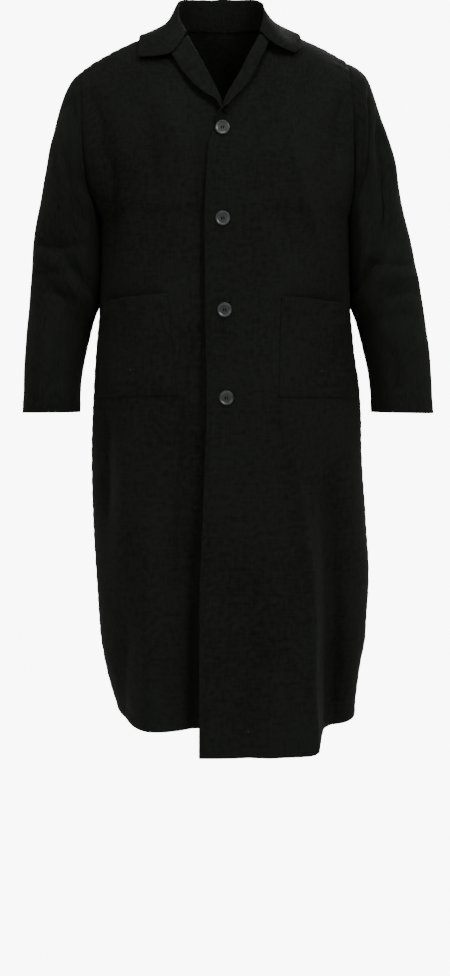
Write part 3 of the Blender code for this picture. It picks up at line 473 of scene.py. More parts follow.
    collar: tuple[CollarStation, ...] = _rows(
        CollarStation,
        (0.0, (-0.066, -0.059, -0.023), Face.FRONT, Lift(0.175, 0.6, 0.015), Lift(0.415, 0.65, 0.007)),
        (0.5, (-0.0795, -0.023, 0.013), Face.FRONT, Lift(0.12, 0.84, 0.01), Lift(0.365, 0.84, 0.0055)),
        (1.0, (-0.08, 0.01, 0.044), Face.FRONT, Lift(0.05, 0.99, 0.011), Lift(0.28, 0.995, 0.0055)),
        (1.25, (-0.074, 0.031, 0.053), Face.BACK, Lift(0.37, 0.96, 0.015), Lift(0.45, 0.86, 0.0075)),
        (1.5, (-0.06, 0.05, 0.06), Face.BACK, Lift(0.31, 0.89, 0.018), Lift(0.35, 0.77, 0.0095)),
        (1.75, (-0.037, 0.0635, 0.0628), Face.BACK, Lift(0.17, 0.88, 0.018), Lift(0.19, 0.735, 0.0095)),
        (2.0, (-0.0085, 0.069, 0.064), Face.BACK, Lift(0.0, 0.88, 0.018), Lift(0.0, 0.725, 0.0085)),
        (2.25, (0.02, 0.0635, 0.0622), Face.BACK, Lift(0.17, 0.88, 0.018), Lift(0.19, 0.735, 0.0095)),
        (2.5, (0.043, 0.05, 0.059), Face.BACK, Lift(0.31, 0.89, 0.018), Lift(0.35, 0.77, 0.01)),
        (2.75, (0.058, 0.031, 0.052), Face.BACK, Lift(0.37, 0.96, 0.015), Lift(0.47, 0.86, 0.0085)),
        (3.0, (0.0645, 0.01, 0.042), Face.FRONT, Lift(0.05, 0.99, 0.011), Lift(0.31, 0.995, 0.0055)),
        (3.5, (0.0675, -0.023, 0.012), Face.FRONT, Lift(0.12, 0.84, 0.011), Lift(0.38, 0.84, 0.0055)),
        (3.8, (0.0635, -0.046, -0.01), Face.FRONT, Lift(0.17, 0.715, 0.0155), Lift(0.405, 0.7, 0.0065)),
        (4.0, (0.06, -0.0608, -0.0222), Face.FRONT, Lift(0.19, 0.625, 0.0175), Lift(0.35, 0.632, 0.0095)))

    def power(self, face: Face) -> float:
        """How square a section is on one face."""
        return self.front_power if face is Face.FRONT else self.back_power

    def half_width(self, side: Side, z: Array) -> Array:
        """Half width to one side at a height."""
        return column(self.sections, side.name.lower(), z)

    def section_x(self, side: Side, face: Face, turn: Array, z: Array) -> Array:
        """Place across at a share of the quarter turn from centre to side."""
        reach = signed_power(np.sin(turn * math.pi / 2), 2 / self.power(face))
        return side.value * self.half_width(side, z) * reach

    def section_y(self, face: Face, turn: Array, z: Array) -> Array:
        """Place in depth at a share of the quarter turn."""
        reach = np.abs(np.cos(turn * math.pi / 2)) ** (2 / self.power(face))
        return face.value * column(self.sections, face.name.lower(), z) * reach

    def turn_at(self, side: Side, face: Face, x: Array, z: Array) -> Array:
        """The share of the quarter turn at which a section reaches a place across."""
        reach = np.clip(side.value * x / self.half_width(side, z), -1.0, 1.0)
        return np.arcsin(signed_power(reach, self.power(face) / 2)) * 2 / math.pi

    def fold_height(self, panel: str, x: Array, z: Array) -> Array:
        """How far the large folds of a panel stand out at a place seen from the front."""
        total = np.zeros(np.broadcast(x, z).shape)
        for fold in self.folds:
            if fold.panel != panel:
                continue
            centre = column(fold.path, "x", z)
            width = np.where(np.abs(x) < np.abs(centre), fold.inner_width, fold.outer_width)
            total = total + column(fold.path, "out", z) * np.exp(-((x - centre) / width) ** 2)
        return total

    def panel_name(self, side: Side) -> str:
        """The node of the front on a side."""
        return "front_left" if side is Side.RIGHT else "front_right"

    def lap(self, side: Side, x: Array) -> Array:
        """How far the under front is set back where the over front covers it."""
        if side is Side.RIGHT:
            return np.zeros(np.shape(x))
        return self.lap_depth * ease((x + 0.085) / 0.040)

    def front_low(self, side: Side, turn: Array, z: Array) -> Array:
        """A front's surface below the underarm."""
        x = self.section_x(side, Face.FRONT, turn, z)
        y = self.section_y(Face.FRONT, turn, z)
        out = self.fold_height(self.panel_name(side), x, z) - self.lap(side, x)
        lean = np.abs(turn)
        outward = side.value * out * np.sin(lean * math.pi / 2) * 0.3
        return np.stack([x + outward, y - out * (1 - 0.5 * lean ** 4), z], -1)

    def roll(self, side: Side) -> tuple[Roll, ...]:
        """The roll line of a side."""
        return self.over_roll if side is Side.RIGHT else self.under_roll

    def lap_word(self, side: Side) -> str:
        """Which of the two laps a side is."""
        return "over" if side is Side.RIGHT else "under"

    def shoulder_roll(self, share: Array) -> Array:
        """How the chest rounds off towards the shoulder seam."""
        return (1 - share ** self.shoulder_power) ** (1 / self.shoulder_power)

    def armhole_bulge(self, share: Array) -> Array:
        """Half the armhole's depth at a share of its height."""
        return self.armhole_depth * np.sqrt(np.clip(1 - (2 * share - 1) ** 2, 0.0, 1.0))

    def front_high(self, side: Side, across: Array, rise: Array) -> Array:
        """A front's surface above the underarm, from roll line (0) to armhole (1)."""
        share = np.sin(rise * math.pi / 2)
        base_z = np.zeros(np.broadcast(across, rise).shape) + self.underarm_z
        roll_x = column(self.roll(side), "x", rise)
        roll_y = column(self.roll(side), "y", rise)
        base_x = column(self.opening, self.lap_word(side) + "_x", base_z)
        turn = blend(self.turn_at(side, Face.FRONT, base_x, base_z), 1.0, across)
        width = side.value * self.half_width(side, base_z) - base_x
        spread = (self.section_x(side, Face.FRONT, turn, base_z) - base_x) / width
        spread = blend(spread, across, share)
        x = blend(roll_x, side.value * column(self.armhole, side.name.lower(), share), spread)
        z = blend(self.underarm_z, column(self.shoulder, side.name.lower(), across), share)
        chest = self.section_y(Face.FRONT, turn, base_z) - self.seam_y
        y = blend(roll_y, self.seam_y + chest * self.shoulder_roll(share), ease(across / 0.45))
        y = y - self.armhole_bulge(share) * across ** 3
        out = self.fold_height(self.panel_name(side), x, z) - self.lap(side, x)
        return np.stack([x, y - out * (1 - ease((rise - 0.6) / 0.3)), z], -1)

    def front(self, side: Side, across: Array, rise: Array) -> Array:
        """A front's surface for a rise of -1 at the hem, 0 at the underarm and 1 at the shoulder."""
        across, rise = np.broadcast_arrays(np.asarray(across, float), np.asarray(rise, float))
        z = blend(self.underarm_z, column(self.hem, self.lap_word(side), across), np.clip(-rise, 0, 1))
        low_x = column(self.opening, self.lap_word(side) + "_x", z)
        turn = blend(self.turn_at(side, Face.FRONT, low_x, z), 1.0, across)
        low = self.front_low(side, turn, z)
        high = self.front_high(side, across, np.clip(rise, 0, 1))
        return np.where((rise > 0)[..., None], high, low)

    def back(self, across: Array, rise: Array) -> Array:
        """The back's surface from the wearer's right armhole (-1) to the left one (1)."""
        across, rise = np.broadcast_arrays(np.asarray(across, float), np.asarray(rise, float))
        result = np.zeros(across.shape + (3,))
        for side in Side:
            mine = across < 0 if side is Side.LEFT else across >= 0
            if mine.any():
                result[mine] = self.half_back(side, np.abs(across[mine]), rise[mine])
        return result

    def half_back(self, side: Side, across: Array, rise: Array) -> Array:
        """One half of the back's surface."""
        sign, name = side.value, side.name.lower()
        low_z = blend(self.underarm_z, column(self.hem, "back_" + name, across), np.clip(-rise, 0, 1))
        up = np.clip(rise, 0, 1)
        share = np.sin(up * math.pi / 2)
        x = self.section_x(side, Face.BACK, across, low_z)
        y = self.section_y(Face.BACK, across, low_z)
        neck_x = self.roll(side)[-1].x
        neck = np.clip(across / self.back_neck_share, 0, 1)
        run = np.clip((across - self.back_neck_share) / (1 - self.back_neck_share), 0, 1)
        centre_x, centre_y, centre_z = self.back_neck_centre
        tip_x = sign * getattr(self.armhole[-1], name)
        on_neck = across < self.back_neck_share
        neck_cos = np.cos(neck * math.pi / 2)
        neck_line = blend(centre_x, neck_x, np.sin(neck * math.pi / 2))
        top_x = np.where(on_neck, neck_line, blend(neck_x, tip_x, run))
        top_y = np.where(on_neck, blend(self.seam_y, centre_y, neck_cos), self.seam_y)
        seam_z = column(self.shoulder, name, run)
        top_z = np.where(on_neck, blend(self.neck_point_z, centre_z, neck_cos), seam_z)
        armhole_x = sign * column(self.armhole, name, share)
        straight_x = blend(sign * self.half_width(side, np.full_like(share, self.underarm_z)), tip_x, share)
        high_x = blend(x, top_x, share ** 1.5) + (armhole_x - straight_x) * across ** 3
        high_x = high_x + (straight_x - blend(x, top_x, share ** 1.5)) * (across >= 1.0)
        roll = blend(1 - share ** 2, self.shoulder_roll(share), ease(across / 0.55))
        high_y = top_y + (y - top_y) * roll + self.armhole_bulge(share) * across ** 3
        high_z = blend(self.underarm_z, top_z, share)
        above = rise > 0
        px, py, pz = np.where(above, high_x, x), np.where(above, high_y, y), np.where(above, high_z, low_z)
        out = self.fold_height("back", px, pz) * (1 - ease(up * 3))
        outward = sign * out * np.sin(across * math.pi / 2) * 0.3
        return np.stack([px + outward, py + out * (1 - 0.5 * across ** 4), pz], -1)

    def lifted(self, side: Side, face: Face, lift: Lift) -> Array:
        """A point of the body moved straight out from it."""
        across, rise = lift.across, lift.rise
        if face is Face.FRONT:
            place = self.front(side, across, rise)
            beside = self.front(side, across + 0.02, rise) - self.front(side, max(across - 0.02, 0), rise)
            normal = unit(np.cross(beside, place - self.front(side, across, rise - 0.02))) * side.value
        else:
            across = side.value * across
            place = self.back(across, rise)
            beside = self.back(across + 0.02, rise) - self.back(across - 0.02, rise)
            normal = -unit(np.cross(beside, place - self.back(across, rise - 0.02)))
        return place + normal * lift.up

    def collar_grid(self, neck: Array, spans: Array, count: int) -> Array:
        """The collar from its neck seam over the roll to the edge of its fall."""
        places = [row.span for row in self.collar]
        sides = [Side.LEFT if row.span < 2 else Side.RIGHT for row in self.collar]
        lines = (
            np.array([row.roll for row in self.collar]),
            np.array([self.lifted(side, row.face, row.middle) for side, row in zip(sides, self.collar)]),
            np.array([self.lifted(side, row.face, row.edge) for side, row in zip(sides, self.collar)]))
        control = [neck]
        for line in lines:
            control.append(np.stack([curve(places, line[:, axis], spans) for axis in range(3)], -1))
        return np.stack([through(control, place) for place in np.linspace(0, 3, count)], 0)

    def sleeve(self, side: Side) -> tuple[SleeveStation, ...]:
        """The sleeve table of a side."""
        return self.left_sleeve if side is Side.LEFT else self.right_sleeve

    def sleeve_ring(self, side: Side, along: float, turns: Array) -> Array:
        """A plain oval of the sleeve, between its top line and its under line."""
        table = self.sleeve(side)
        row = {item.name: float(column(table, item.name, along)) for item in fields(SleeveStation)}
        top = np.array([side.value * row["top_x"], 0.0, row["top_z"]])
        under = np.array([side.value * row["under_x"], 0.0, row["under_z"]])
        reach = signed_power(np.cos(turns), 2 / self.sleeve_power)[:, None]
        points = (top + under) / 2 + (top - under) / 2 * reach
        points[:, 1] += row["centre_y"] + row["depth"] * signed_power(np.sin(turns), 2 / self.sleeve_power)
        return points

    def sleeve_grid(self, side: Side, loop: Array, turns: Array, rings: int) -> Array:
        """The rings of a sleeve, growing out of the armhole loop."""
        half = len(turns) // 2
        even = np.concatenate([np.linspace(-math.pi, 0, half + 1), np.linspace(0, math.pi, half + 1)[1:-1]])
        start = self.sleeve_ring(side, 0.0, turns)
        grid = []
        for along in np.linspace(0, 1, rings + 1):
            settled = blend(turns, even, float(ease(along / 0.35)))
            hold = float(1 - ease(along / 0.16))
            ring = self.sleeve_ring(side, along, settled) + (loop - start) * hold
            for crease in self.sleeve_creases:
                if crease.side is not side:
                    continue
                centre = crease.along + crease.slope * np.sin((settled - crease.turn) / 2)
                swing = np.angle(np.exp(1j * (settled - crease.turn))) / crease.spread
                height = crease.out * np.exp(-swing ** 2) * np.exp(-((along - centre) / crease.width) ** 2)
                ring[:, 0] += side.value * np.cos(settled) * height
                ring[:, 1] += np.sin(settled) * height
            grid.append(ring)
        return np.stack(grid, 0)


# Cloth as a grid of points


@dataclass
class ClothGrid:
    """A piece of cloth as a grid of points with outward normals."""

    points: Array
    facing: int
    closed: bool = False
    present: Array | None = None
    normals: Array = field(init=False)

    def __post_init__(self) -> None:
        self.normals = self.own_normals()

    def own_normals(self) -> Array:
        """Normals from each point's own neighbours."""
        rows = np.gradient(self.points, axis=0)
        if self.closed:
            columns = np.roll(self.points, -1, axis=1) - np.roll(self.points, 1, axis=1)
        else:
            columns = np.gradient(self.points, axis=1)
        return unit(np.cross(columns, rows)) * self.facing

    def lengths(self, axis: int) -> Array:
        """Length along the cloth from the grid's first row (axis 0) or column (axis 1)."""
        steps = np.linalg.norm(np.diff(self.points, axis=axis), axis=-1)
        start = np.zeros_like(np.take(steps, [0], axis=axis))
        return np.concatenate([start, np.cumsum(steps, axis=axis)], axis=axis)

    def move(self, height: Array) -> None:
        """Moves each point out along its normal and sets the normals again."""
        self.points = self.points + self.normals * height[..., None]
        self.normals = self.own_normals()

    def area(self) -> float:
        """Area of the cloth's middle surface."""
        points = np.concatenate([self.points, self.points[:, :1]], 1) if self.closed else self.points
        first = points[1:, 1:] - points[:-1, :-1]
        second = points[1:, :-1] - points[:-1, 1:]
        cells = np.linalg.norm(np.cross(first, second), axis=-1) / 2
        if self.present is not None:
            cells = cells * self.present
        return float(cells.sum())

    def surface(self) -> BVHTree:
        """The cloth's middle surface, for measuring how far it is."""
        rows, columns = self.points.shape[:2]
        number = np.arange(rows * columns).reshape(rows, columns)
        quads = np.stack([number[:-1, :-1], number[:-1, 1:], number[1:, 1:], number[1:, :-1]], -1)
        return BVHTree.FromPolygons(self.points.reshape(-1, 3).tolist(), quads.reshape(-1, 4).tolist())

    def read(self, row: Array, place: Array, values: Array) -> Array:
        """Values of the grid read between its points."""
        low_row = np.clip(np.floor(row).astype(int), 0, values.shape[0] - 2)
        low_place = np.clip(np.floor(place).astype(int), 0, values.shape[1] - 2)
        up = (row - low_row)[..., None]
        over = (place - low_place)[..., None]
        bottom = blend(values[low_row, low_place], values[low_row, low_place + 1], over)
        top = blend(values[low_row + 1, low_place], values[low_row + 1, low_place + 1], over)
        return blend(bottom, top, up)

    def trace(self, values: Array, level: float, along_rows: bool, lift: float) -> Array:
        """The line on the cloth where values reach a level, one point for each row or column."""
        points = self.points + self.normals * lift
        if not along_rows:
            values = values.T
            points = points.transpose(1, 0, 2)
        line = []
        for row_values, row_points in zip(values, points):
            above = row_values > level
            change = np.nonzero(above[1:] != above[:-1])[0]
            if len(change) == 0:
                continue
            cell = change[0]
            share = (level - row_values[cell]) / (row_values[cell + 1] - row_values[cell])
            line.append(blend(row_points[cell], row_points[cell + 1], share))
        return np.array(line)

    def build(self, name: str, thickness: Array | float, material: bpy.types.Material) -> bpy.types.Object:
        """A closed shell with rounded edges, and the flat cloth's own UV map in metres.

        Args:
            name: Name of the piece.
            thickness: Cloth thickness, one value or one for each point.
            material: The cloth's material.

        Returns:
            The new object.
        """
        rows, columns = self.points.shape[:2]
        count = rows * columns
        half = (np.zeros((rows, columns)) + thickness)[..., None] / 2
        outer = (self.points + self.normals * half).reshape(-1, 3)
        inner = (self.points - self.normals * half).reshape(-1, 3)
        row, cell = np.nonzero(np.ones((rows - 1, columns if self.closed else columns - 1), bool)
                               if self.present is None else self.present)
        right = (cell + 1) % columns
        quads = np.stack([row * columns + cell, row * columns + right,
                          (row + 1) * columns + right, (row + 1) * columns + cell], 1)
        if self.facing < 0:
            quads = quads[:, ::-1]
        starts, ends = quads.ravel(), np.roll(quads, -1, axis=1).ravel()
        rim = ~np.isin(starts * count + ends, ends * count + starts)
        starts, ends = starts[rim], ends[rim]
        # The rim is rounded by a middle row of points pushed outwards
        flat_points = self.points.reshape(-1, 3)
        flat_normals = self.normals.reshape(-1, 3)
        push = np.zeros((count, 3))
        outward = unit(np.cross(flat_points[ends] - flat_points[starts], flat_normals[starts]))
        np.add.at(push, starts, outward)
        np.add.at(push, ends, outward)
        middle = flat_points + unit(push) * half.reshape(-1, 1) * 0.8
        faces = np.concatenate([
            quads, quads[:, ::-1] + count,
            np.stack([ends, starts, starts + 2 * count, ends + 2 * count], 1),
            np.stack([ends + 2 * count, starts + 2 * count, starts + count, ends + count], 1)])
        every = np.concatenate([outer, inner, middle])
        used, faces = np.unique(faces, return_inverse=True)
        faces = faces.reshape(-1, 4)
        piece = add_mesh(name, every[used].tolist(), faces.tolist())
        flat = np.stack([self.lengths(1).mean(0)[None, :] + np.zeros((rows, 1)), self.lengths(0)], -1)
        flat = np.concatenate([flat.reshape(-1, 2)] * 3)[used]
        layer = piece.data.uv_layers.new(name="flat_cloth")
        layer.data.foreach_set("uv", flat[faces.ravel()].astype(np.float32).ravel())
        dress(piece.data, material)
        return piece


# Creases, seams and other small forms of the cloth


@dataclass(frozen=True)
class Crease:
    """A crease or soft ridge along a path seen from the front or the back, as (x, z) points in mm.

    Height is out from the cloth, width is to the left and right of the path from its first point,
    and power sets how crisp its crest is.
    """

    path: tuple[tuple[float, float], ...]
    height: float
    left: float
    right: float
    face: Face = Face.FRONT
    power: float = 1.45
    start: float = 0.25
    end: float = 0.35
    depth: float = 1.85

    def heights(self, points: Array, normals: Array) -> Array:
        """How far the crease lifts each point of a grid."""
        marks = np.array(self.path, float) / 1000
        along = np.concatenate([[0.0], np.cumsum(np.linalg.norm(np.diff(marks, axis=0), axis=1))])
        fine = np.linspace(0, along[-1], 22)
        line = np.stack([curve(along, marks[:, axis], fine) for axis in range(2)], -1)
        flat = points[..., (0, 2)]
        best = np.full(flat.shape[:-1], np.inf)
        signed = np.zeros_like(best)
        share = np.zeros_like(best)
        for place, (first, second) in enumerate(zip(line[:-1], line[1:])):
            step = second - first
            reach = np.clip((flat - first) @ step / (step @ step), 0, 1)
            gap = flat - first - reach[..., None] * step
            distance = np.hypot(gap[..., 0], gap[..., 1])
            nearer = distance < best
            cross = step[0] * gap[..., 1] - step[1] * gap[..., 0]
            signed = np.where(nearer, np.sign(cross) * distance, signed)
            share = np.where(nearer, (place + reach) / (len(line) - 1), share)
            best = np.minimum(best, distance)
        width = np.where(signed > 0, self.left, self.right)
        profile = np.exp(-(best / width) ** self.power)
        fade = ease(share / self.start) * ease((1 - share) / self.end)
        facing = np.clip(normals[..., 1] * self.face.value * 1.8 + 0.1, 0, 1)
        return self.depth * self.height * profile * fade * facing


@dataclass(frozen=True)
class Wobble:
    """Slow uneven waves that keep worn cloth from lying perfectly smooth."""

    seed: int
    amplitude: float = 0.0011
    shortest: float = 0.045
    longest: float = 0.200
    count: int = 26
    upright: float = 0.45

    def heights(self, points: Array) -> Array:
        """Height of the waves at each point."""
        random = np.random.default_rng(self.seed)
        total = np.zeros(points.shape[:-1])
        for _ in range(self.count):
            way = unit(random.normal(size=3) * np.array([1.0, 1.0, self.upright]))
            length = random.uniform(self.shortest, self.longest)
            total += length * np.sin(points @ way * 2 * math.pi / length + random.uniform(0, 2 * math.pi))
        return self.amplitude * total / (self.longest * math.sqrt(self.count) / 2)


@dataclass(frozen=True)
class Sewing:
    """How sewing shapes the cloth beside it."""

    valley: float = 0.0013
    valley_width: float = 0.0030
    pucker: float = 0.00042
    pucker_width: float = 0.012
    pucker_length: float = 0.021
    groove: float = 0.00065
    groove_width: float = 0.0013
    settle: float = 0.022

    def seam(self, distance: Array, along: Array) -> Array:
        """The valley of a seam, with the small waves that its tight thread pulls up."""
        wave = np.sin(along * 2 * math.pi / self.pucker_length + 1.7 * np.sin(along * 37.0))
        near = distance * np.exp(-distance / self.pucker_width) / (self.pucker_width * 0.37)
        return self.pucker * wave * near - self.valley * np.exp(-(distance / self.valley_width) ** 1.4)

    def topstitch(self, distance: Array, along: Array) -> Array:
        """The groove under a row of stitches, with its small waves to either side."""
        wave = np.sin(along * 2 * math.pi / (self.pucker_length * 0.6) + 1.3 * np.sin(along * 41.0))
        near = np.exp(-(distance / (self.pucker_width * 0.5)) ** 2)
        return self.pucker * wave * near - self.groove * np.exp(-(distance / self.groove_width) ** 2)

    def free(self, distance: Array) -> Array:
        """How far creases may run towards a sewn edge."""
        return ease(distance / self.settle)


OVER_FRONT_CREASES = (
    Crease(((108, -83), (94, -120), (80, -161), (67, -222)), 0.0035, 0.014, 0.02),
    Crease(((100, -110), (110, -245), (142, -349), (174, -432), (184, -474)), 0.0056, 0.018, 0.007,
           power=1.15),
    Crease(((85, -300), (105, -372), (135, -440)), -0.0024, 0.012, 0.016),
    Crease(((70, -521), (85, -614), (108, -723), (121, -837), (135, -915), (141, -991), (141, -1093), (145,
           -1240)), 0.006, 0.022, 0.008, power=1.15, end=0.02),
    Crease(((175, -690), (183, -840), (187, -1000), (190, -1240)), -0.0086, 0.016, 0.022, end=0.02),
    Crease(((45, -780), (42, -900), (40, -1080), (38, -1240)), -0.0028, 0.014, 0.018, end=0.02),
    Crease(((76, -820), (80, -960), (76, -1100), (74, -1240)), 0.003, 0.018, 0.018, end=0.02),
    Crease(((-17, -837), (8, -841), (39, -844)), -0.0018, 0.006, 0.004),
    Crease(((18, -245), (40, -290), (62, -330)), -0.0013, 0.009, 0.006),
    Crease(((20, -395), (58, -420), (90, -430)), -0.0012, 0.008, 0.006),
    Crease(((30, -560), (45, -640), (52, -720)), 0.0016, 0.012, 0.012),
    Crease(((200, -120), (188, -190), (186, -270)), -0.0045, 0.014, 0.01),
    Crease(((170, -130), (160, -200), (162, -260)), 0.0024, 0.014, 0.012),
    Crease(((215, -520), (190, -560), (172, -620)), -0.0022, 0.01, 0.014),
)

UNDER_FRONT_CREASES = (
    Crease(((-39.5, -180), (-40.5, -300), (-39, -430), (-38.5, -560), (-43, -700)), -0.004, 0.01, 0.005,
           power=1.7, start=0.12, end=0.12),
    Crease(((-100, -110), (-85, -202), (-64, -268), (-59, -350)), 0.0042, 0.02, 0.016),
    Crease(((-130, -150), (-122, -240), (-112, -330)), -0.0026, 0.018, 0.016),
    Crease(((-194, -210), (-190, -320), (-196, -470)), -0.0058, 0.012, 0.016),
    Crease(((-204, -640), (-206, -740), (-203, -880)), -0.0058, 0.014, 0.014),
    Crease(((-165, -640), (-168, -800), (-160, -980)), 0.003, 0.02, 0.018),
    Crease(((-90, -680), (-92, -860), (-88, -1050), (-85, -1240)), -0.003, 0.02, 0.02, end=0.02),
    Crease(((-125, -780), (-127, -950), (-122, -1240)), 0.0036, 0.018, 0.018, end=0.02),
    Crease(((-160, -1000), (-172, -1100), (-176, -1240)), -0.0034, 0.014, 0.014, end=0.02),
    Crease(((-45, -420), (-80, -445), (-110, -452)), -0.0014, 0.007, 0.009),
    Crease(((-50, -460), (-55, -600), (-66, -760), (-70, -880), (-72, -1020)), -0.0052, 0.016, 0.018,
           end=0.2),
    Crease(((-215, -510), (-190, -600), (-160, -660)), 0.0022, 0.013, 0.01),
    Crease(((-236, -110), (-210, -180), (-205, -260)), -0.0034, 0.012, 0.012),
)

BACK_CREASES = (
    Crease(((-150, -130), (-120, -220), (-105, -330), (-110, -430)), 0.0042, 0.022, 0.018, Face.BACK),
    Crease(((140, -120), (112, -230), (100, -340), (104, -450)), 0.004, 0.018, 0.022, Face.BACK),
    Crease(((-200, -230), (-165, -340), (-158, -450)), -0.0048, 0.014, 0.016, Face.BACK),
    Crease(((185, -220), (158, -330), (152, -450)), -0.0048, 0.016, 0.014, Face.BACK),
    Crease(((-85, -60), (-50, -105), (2, -118)), -0.0018, 0.012, 0.014, Face.BACK),
    Crease(((70, -58), (35, -100), (-10, -116)), -0.0017, 0.014, 0.012, Face.BACK),
    Crease(((-120, -500), (-40, -522), (45, -515)), -0.0024, 0.01, 0.014, Face.BACK),
    Crease(((130, -470), (70, -497), (10, -494)), -0.002, 0.012, 0.01, Face.BACK),
    Crease(((-105, -620), (-104, -850), (-108, -1050), (-110, -1240)), 0.005, 0.022, 0.014, Face.BACK,
           power=1.5, end=0.02),
    Crease(((70, -640), (78, -860), (86, -1060), (88, -1240)), 0.0052, 0.014, 0.022, Face.BACK, power=1.5,
           end=0.02),
    Crease(((-165, -660), (-160, -900), (-158, -1240)), -0.0046, 0.018, 0.018, Face.BACK, end=0.02),
    Crease(((148, -700), (150, -930), (158, -1240)), -0.0046, 0.018, 0.018, Face.BACK, end=0.02),
    Crease(((-12, -560), (-6, -800), (-10, -1240)), -0.0044, 0.022, 0.018, Face.BACK, end=0.02),
    Crease(((36, -780), (40, -980), (38, -1240)), 0.0026, 0.014, 0.014, Face.BACK, end=0.02),
)

LEFT_SLEEVE_CREASES = (
    Crease(((-262, -125), (-252, -155), (-240, -190)), -0.0046, 0.01, 0.014),
    Crease(((-300, -180), (-282, -240), (-262, -300), (-245, -350)), 0.0036, 0.014, 0.014),
    Crease(((-330, -372), (-295, -384), (-262, -382), (-236, -372)), -0.003, 0.007, 0.006),
    Crease(((-334, -398), (-300, -404), (-262, -402)), 0.0016, 0.008, 0.008),
    Crease(((-338, -424), (-300, -424), (-258, -434)), -0.003, 0.006, 0.007),
    Crease(((-318, -455), (-285, -462), (-255, -484)), -0.002, 0.008, 0.008),
    Crease(((-320, -500), (-300, -560), (-292, -620)), 0.0026, 0.016, 0.016),
    Crease(((-270, -520), (-280, -585), (-278, -640)), -0.0022, 0.012, 0.012),
    Crease(((-318, -330), (-290, -378), (-262, -400)), -0.0046, 0.01, 0.008, Face.BACK),
    Crease(((-328, -420), (-298, -436), (-262, -440)), -0.0036, 0.009, 0.009, Face.BACK),
    Crease(((-280, -120), (-262, -200), (-255, -280)), 0.0038, 0.016, 0.014, Face.BACK),
    Crease(((-315, -480), (-300, -560), (-295, -640)), -0.003, 0.014, 0.014, Face.BACK),
)

RIGHT_SLEEVE_CREASES = (
    Crease(((248, -90), (250, -150), (246, -200), (228, -271), (222, -300)), -0.008, 0.011, 0.0075,
           power=1.3),
    Crease(((262, -130), (266, -200), (268, -276), (272, -330), (262, -372), (228, -398)), -0.0066, 0.009,
           0.0085, power=1.3),
    Crease(((285, -140), (290, -220), (292, -300)), 0.0036, 0.016, 0.016),
    Crease(((334, -398), (300, -412), (262, -414), (238, -404)), -0.003, 0.007, 0.007),
    Crease(((338, -432), (300, -436), (262, -430)), 0.0026, 0.008, 0.008),
    Crease(((342, -462), (305, -458), (262, -466)), -0.0032, 0.008, 0.007),
    Crease(((326, -496), (290, -500), (258, -520)), -0.003, 0.009, 0.009),
    Crease(((322, -520), (306, -580), (300, -630)), 0.0026, 0.016, 0.016),
    Crease(((276, -540), (288, -600), (284, -645)), -0.0022, 0.012, 0.012),
    Crease(((318, -340), (290, -388), (262, -410)), -0.0046, 0.01, 0.008, Face.BACK),
    Crease(((330, -430), (298, -446), (262, -448)), -0.0036, 0.009, 0.009, Face.BACK),
    Crease(((272, -120), (262, -200), (256, -290)), 0.0038, 0.014, 0.016, Face.BACK),
    Crease(((312, -480), (302, -560), (300, -640)), -0.003, 0.014, 0.014, Face.BACK),
)


# Finishes


class Nodes:
    """Short ways to add and join shader or geometry nodes in one tree."""

    def __init__(self, tree: bpy.types.NodeTree) -> None:
        self.tree = tree
        self.row = 0

    def add(self, kind: str, inputs: dict | None = None, **settings: object) -> bpy.types.Node:
        """Adds a node.

        Args:
            kind: Blender's node type.
            inputs: Values or output sockets for its inputs, by name or place.
            settings: The node's own settings.

        Returns:
            The new node.
        """
        node = self.tree.nodes.new(kind)
        node.location = (self.row * 180, -(self.row % 4) * 160)
        self.row += 1
        for name, value in settings.items():
            setattr(node, name, value)
        self.feed(node, inputs or {})
        return node

    def feed(self, node: bpy.types.Node, inputs: dict) -> None:
        """Gives a node's inputs their values, or joins them to output sockets."""
        for name, value in inputs.items():
            if isinstance(value, bpy.types.NodeSocket):
                self.tree.links.new(value, node.inputs[name])
            else:
                node.inputs[name].default_value = value

    def noise(self, vector: bpy.types.NodeSocket, scale: float, detail: float) -> bpy.types.NodeSocket:
        """Cloudy noise."""
        node = self.add("ShaderNodeTexNoise", {"Vector": vector, "Scale": scale, "Detail": detail})
        return node.outputs["Fac"]

    def drawn_out(self, vector: bpy.types.NodeSocket, stretch: tuple[float, ...]) -> bpy.types.NodeSocket:
        """Noise drawn out into threads."""
        mapping = self.add("ShaderNodeMapping", {"Vector": vector, "Scale": stretch})
        return self.noise(mapping.outputs[0], 1.0, 2.0)

    def ramp(self, value: object, ends: Sequence[float], colours: Sequence[tuple]) -> bpy.types.NodeSocket:
        """A colour between two where a value lies between two ends."""
        node = self.add("ShaderNodeValToRGB", {0: value})
        for element, place, colour in zip(node.color_ramp.elements, ends, colours):
            element.position = place
            element.color = (*colour, 1.0)
        return node.outputs[0]

    def weigh(self, *parts: tuple[bpy.types.NodeSocket, float]) -> bpy.types.NodeSocket:
        """The sum of values times their weights, added from the first on."""
        total = None
        for value, weight in parts:
            part = self.math("MULTIPLY", value, weight)
            total = part if total is None else self.math("ADD", total, part)
        return total

    def math(self, operation: str, first: object, second: object = 0.0) -> bpy.types.NodeSocket:
        """The result of one sum on numbers or sockets."""
        return self.add("ShaderNodeMath", {0: first, 1: second}, operation=operation).outputs[0]


def new_material(name: str) -> tuple[bpy.types.Material, Nodes, bpy.types.Node]:
    """A new material with its nodes and its shader."""
    material = bpy.data.materials.new(name)
    material.use_nodes = True
    return material, Nodes(material.node_tree), material.node_tree.nodes["Principled BSDF"]


